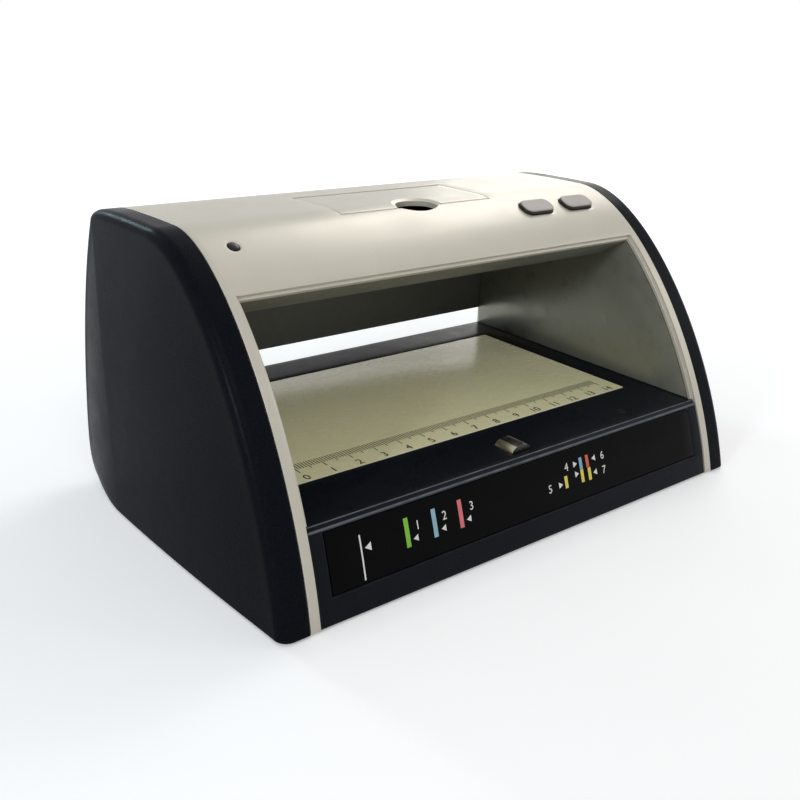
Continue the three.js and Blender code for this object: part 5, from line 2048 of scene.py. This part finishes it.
@dataclass
class Studio:
    """The pale floor, the white surroundings, the soft lights and the photograph's camera."""

    floor_half: float = 6.0
    floor_grey: tuple[float, float] = (0.86, 0.88)
    floor_cloud: float = 60 * MM
    glow_from: float = 0.25
    glow_to: float = 1.2
    near_glow: float = 0.3
    ambient: float = 0.36
    lights: tuple[Softbox, ...] = (
        Softbox("key_light", (-0.40, -0.65, 0.85), 0.5, 1.7),
        Softbox("top_light", (0.66, 0.33, 0.72), 0.45, 2.4),
        Softbox("window_light", (-0.88, -0.28, 0.38), 0.12, 2.4, (0.86, 0.93, 1.0)),
        Softbox("rear_left_light", (-0.20, 0.78, 0.44), 0.14, 1.3, (0.62, 0.89, 1.0)),
        Softbox("rear_light", (0.82, 0.62, 0.32), 0.40, 0.9, (1.0, 0.97, 0.93)),
        Softbox("right_light", (0.8, -0.5, 0.5), 0.5, 1.0))
    focal_pixels: float = 1014.013
    image_pixels: float = 800.0
    sensor_width: float = 36.0
    nearest: float = 0.01
    principal: tuple[float, float] = (374.66, 280.78)
    camera_place: tuple[float, float, float] = (-0.231768, -0.256628, 0.162606)
    right: tuple[float, float, float] = (0.7835173303, -0.6199521396, 0.0419516136)
    down: tuple[float, float, float] = (-0.1263784949, -0.2250970926, -0.9661054678)
    ahead: tuple[float, float, float] = (0.6083823381, 0.7516585951, -0.2547160913)

    def floor(self) -> None:
        """A wide pale floor whose own glow keeps it white away from the shadow."""
        mesh = bpy.data.meshes.new("floor")
        half = self.floor_half
        corners = [(-half, -half, 0), (half, -half, 0), (half, half, 0), (-half, half, 0)]
        mesh.from_pydata(corners, [], [(0, 1, 2, 3)])
        thing = bpy.data.objects.new("floor", mesh)
        bpy.context.scene.collection.objects.link(thing)
        shader = Shader("floor_white")
        surface = shader.surface.inputs
        mottle = shader.ramp(shader.noise(self.floor_cloud), 0.3, 0.7, 0.0, 1.0)
        dark, pale = ((grey, grey, grey, 1.0) for grey in self.floor_grey)
        shader.join(shader.blend(mottle, dark, pale), surface["Base Color"])
        surface["Roughness"].default_value = 0.8
        surface["Specular IOR Level"].default_value = 0.2
        surface["Emission Color"].default_value = (1.0, 1.0, 1.0, 1.0)
        away = shader.add("ShaderNodeVectorMath", operation="LENGTH")
        shader.join(shader.place, away.inputs[0])
        glow = shader.ramp(away.outputs["Value"], self.glow_from, self.glow_to, self.near_glow, 1.0)
        path = shader.add("ShaderNodeLightPath").outputs
        seen = shader.math("MAXIMUM", path["Is Camera Ray"], path["Is Glossy Ray"])
        seen = shader.math("MAXIMUM", seen, path["Is Transmission Ray"])
        shader.join(shader.math("MULTIPLY", seen, glow), surface["Emission Strength"])
        mesh.materials.append(shader.material)

    def surroundings(self) -> None:
        """A world that is plain white where it is seen and dimmer where it only lights."""
        world = bpy.data.worlds.new("white_room")
        world.use_nodes = True
        tree = world.node_tree
        backdrop = tree.nodes["Background"]
        backdrop.inputs["Color"].default_value = (1.0, 1.0, 1.0, 1.0)
        path = tree.nodes.new("ShaderNodeLightPath")
        seen = path.outputs["Is Camera Ray"]
        for kind in ("Is Glossy Ray", "Is Transmission Ray"):
            either = tree.nodes.new("ShaderNodeMath")
            either.operation = "MAXIMUM"
            tree.links.new(seen, either.inputs[0])
            tree.links.new(path.outputs[kind], either.inputs[1])
            seen = either.outputs[0]
        level = tree.nodes.new("ShaderNodeMapRange")
        level.inputs["To Min"].default_value = self.ambient
        tree.links.new(seen, level.inputs["Value"])
        tree.links.new(level.outputs[0], backdrop.inputs["Strength"])
        bpy.context.scene.world = world

    def camera(self) -> None:
        """The photograph's camera: its place, its turn, its lens and its off-centre picture."""
        data = bpy.data.cameras.new("photo_camera")
        data.sensor_width = self.sensor_width
        data.lens = self.focal_pixels * self.sensor_width / self.image_pixels
        data.shift_x = (self.image_pixels / 2 - self.principal[0]) / self.image_pixels
        data.shift_y = (self.principal[1] - self.image_pixels / 2) / self.image_pixels
        data.clip_start = self.nearest
        thing = bpy.data.objects.new("photo_camera", data)
        bpy.context.scene.collection.objects.link(thing)
        axes = np.column_stack([self.right, -np.array(self.down), -np.array(self.ahead)])
        place = Matrix([[*row, 0.0] for row in axes.tolist()] + [[0.0, 0.0, 0.0, 1.0]])
        place.translation = Vector(self.camera_place)
        thing.matrix_world = place
        bpy.context.scene.camera = thing

    def build(self) -> None:
        """Sets up the whole stage."""
        self.floor()
        self.surroundings()
        for light in self.lights:
            light.build()
        self.camera()
        view = bpy.context.scene.view_settings
        view.view_transform = "Standard"


def main() -> None:
    """Builds each sub-assembly in order, then the stage."""
    logging.basicConfig(level=logging.INFO, format="%(name)s: %(message)s")
    plan = Plan.from_frame()
    shop = Workshop()
    TopShell(plan).build(shop)
    SideCovers(plan).build(shop)
    Hatch(plan).build(shop)
    Base(plan).build(shop)
    FrontLabel(plan).build(shop)
    Ruler(plan).build(shop)
    RearCover(plan).build(shop)
    for node in BUTTON_PLACES:
        PushButton(node, plan).build(shop)
    Indicator(plan).build(shop)
    Inside().build(shop)
    Studio().build()


if __name__ == "__main__":
    main()
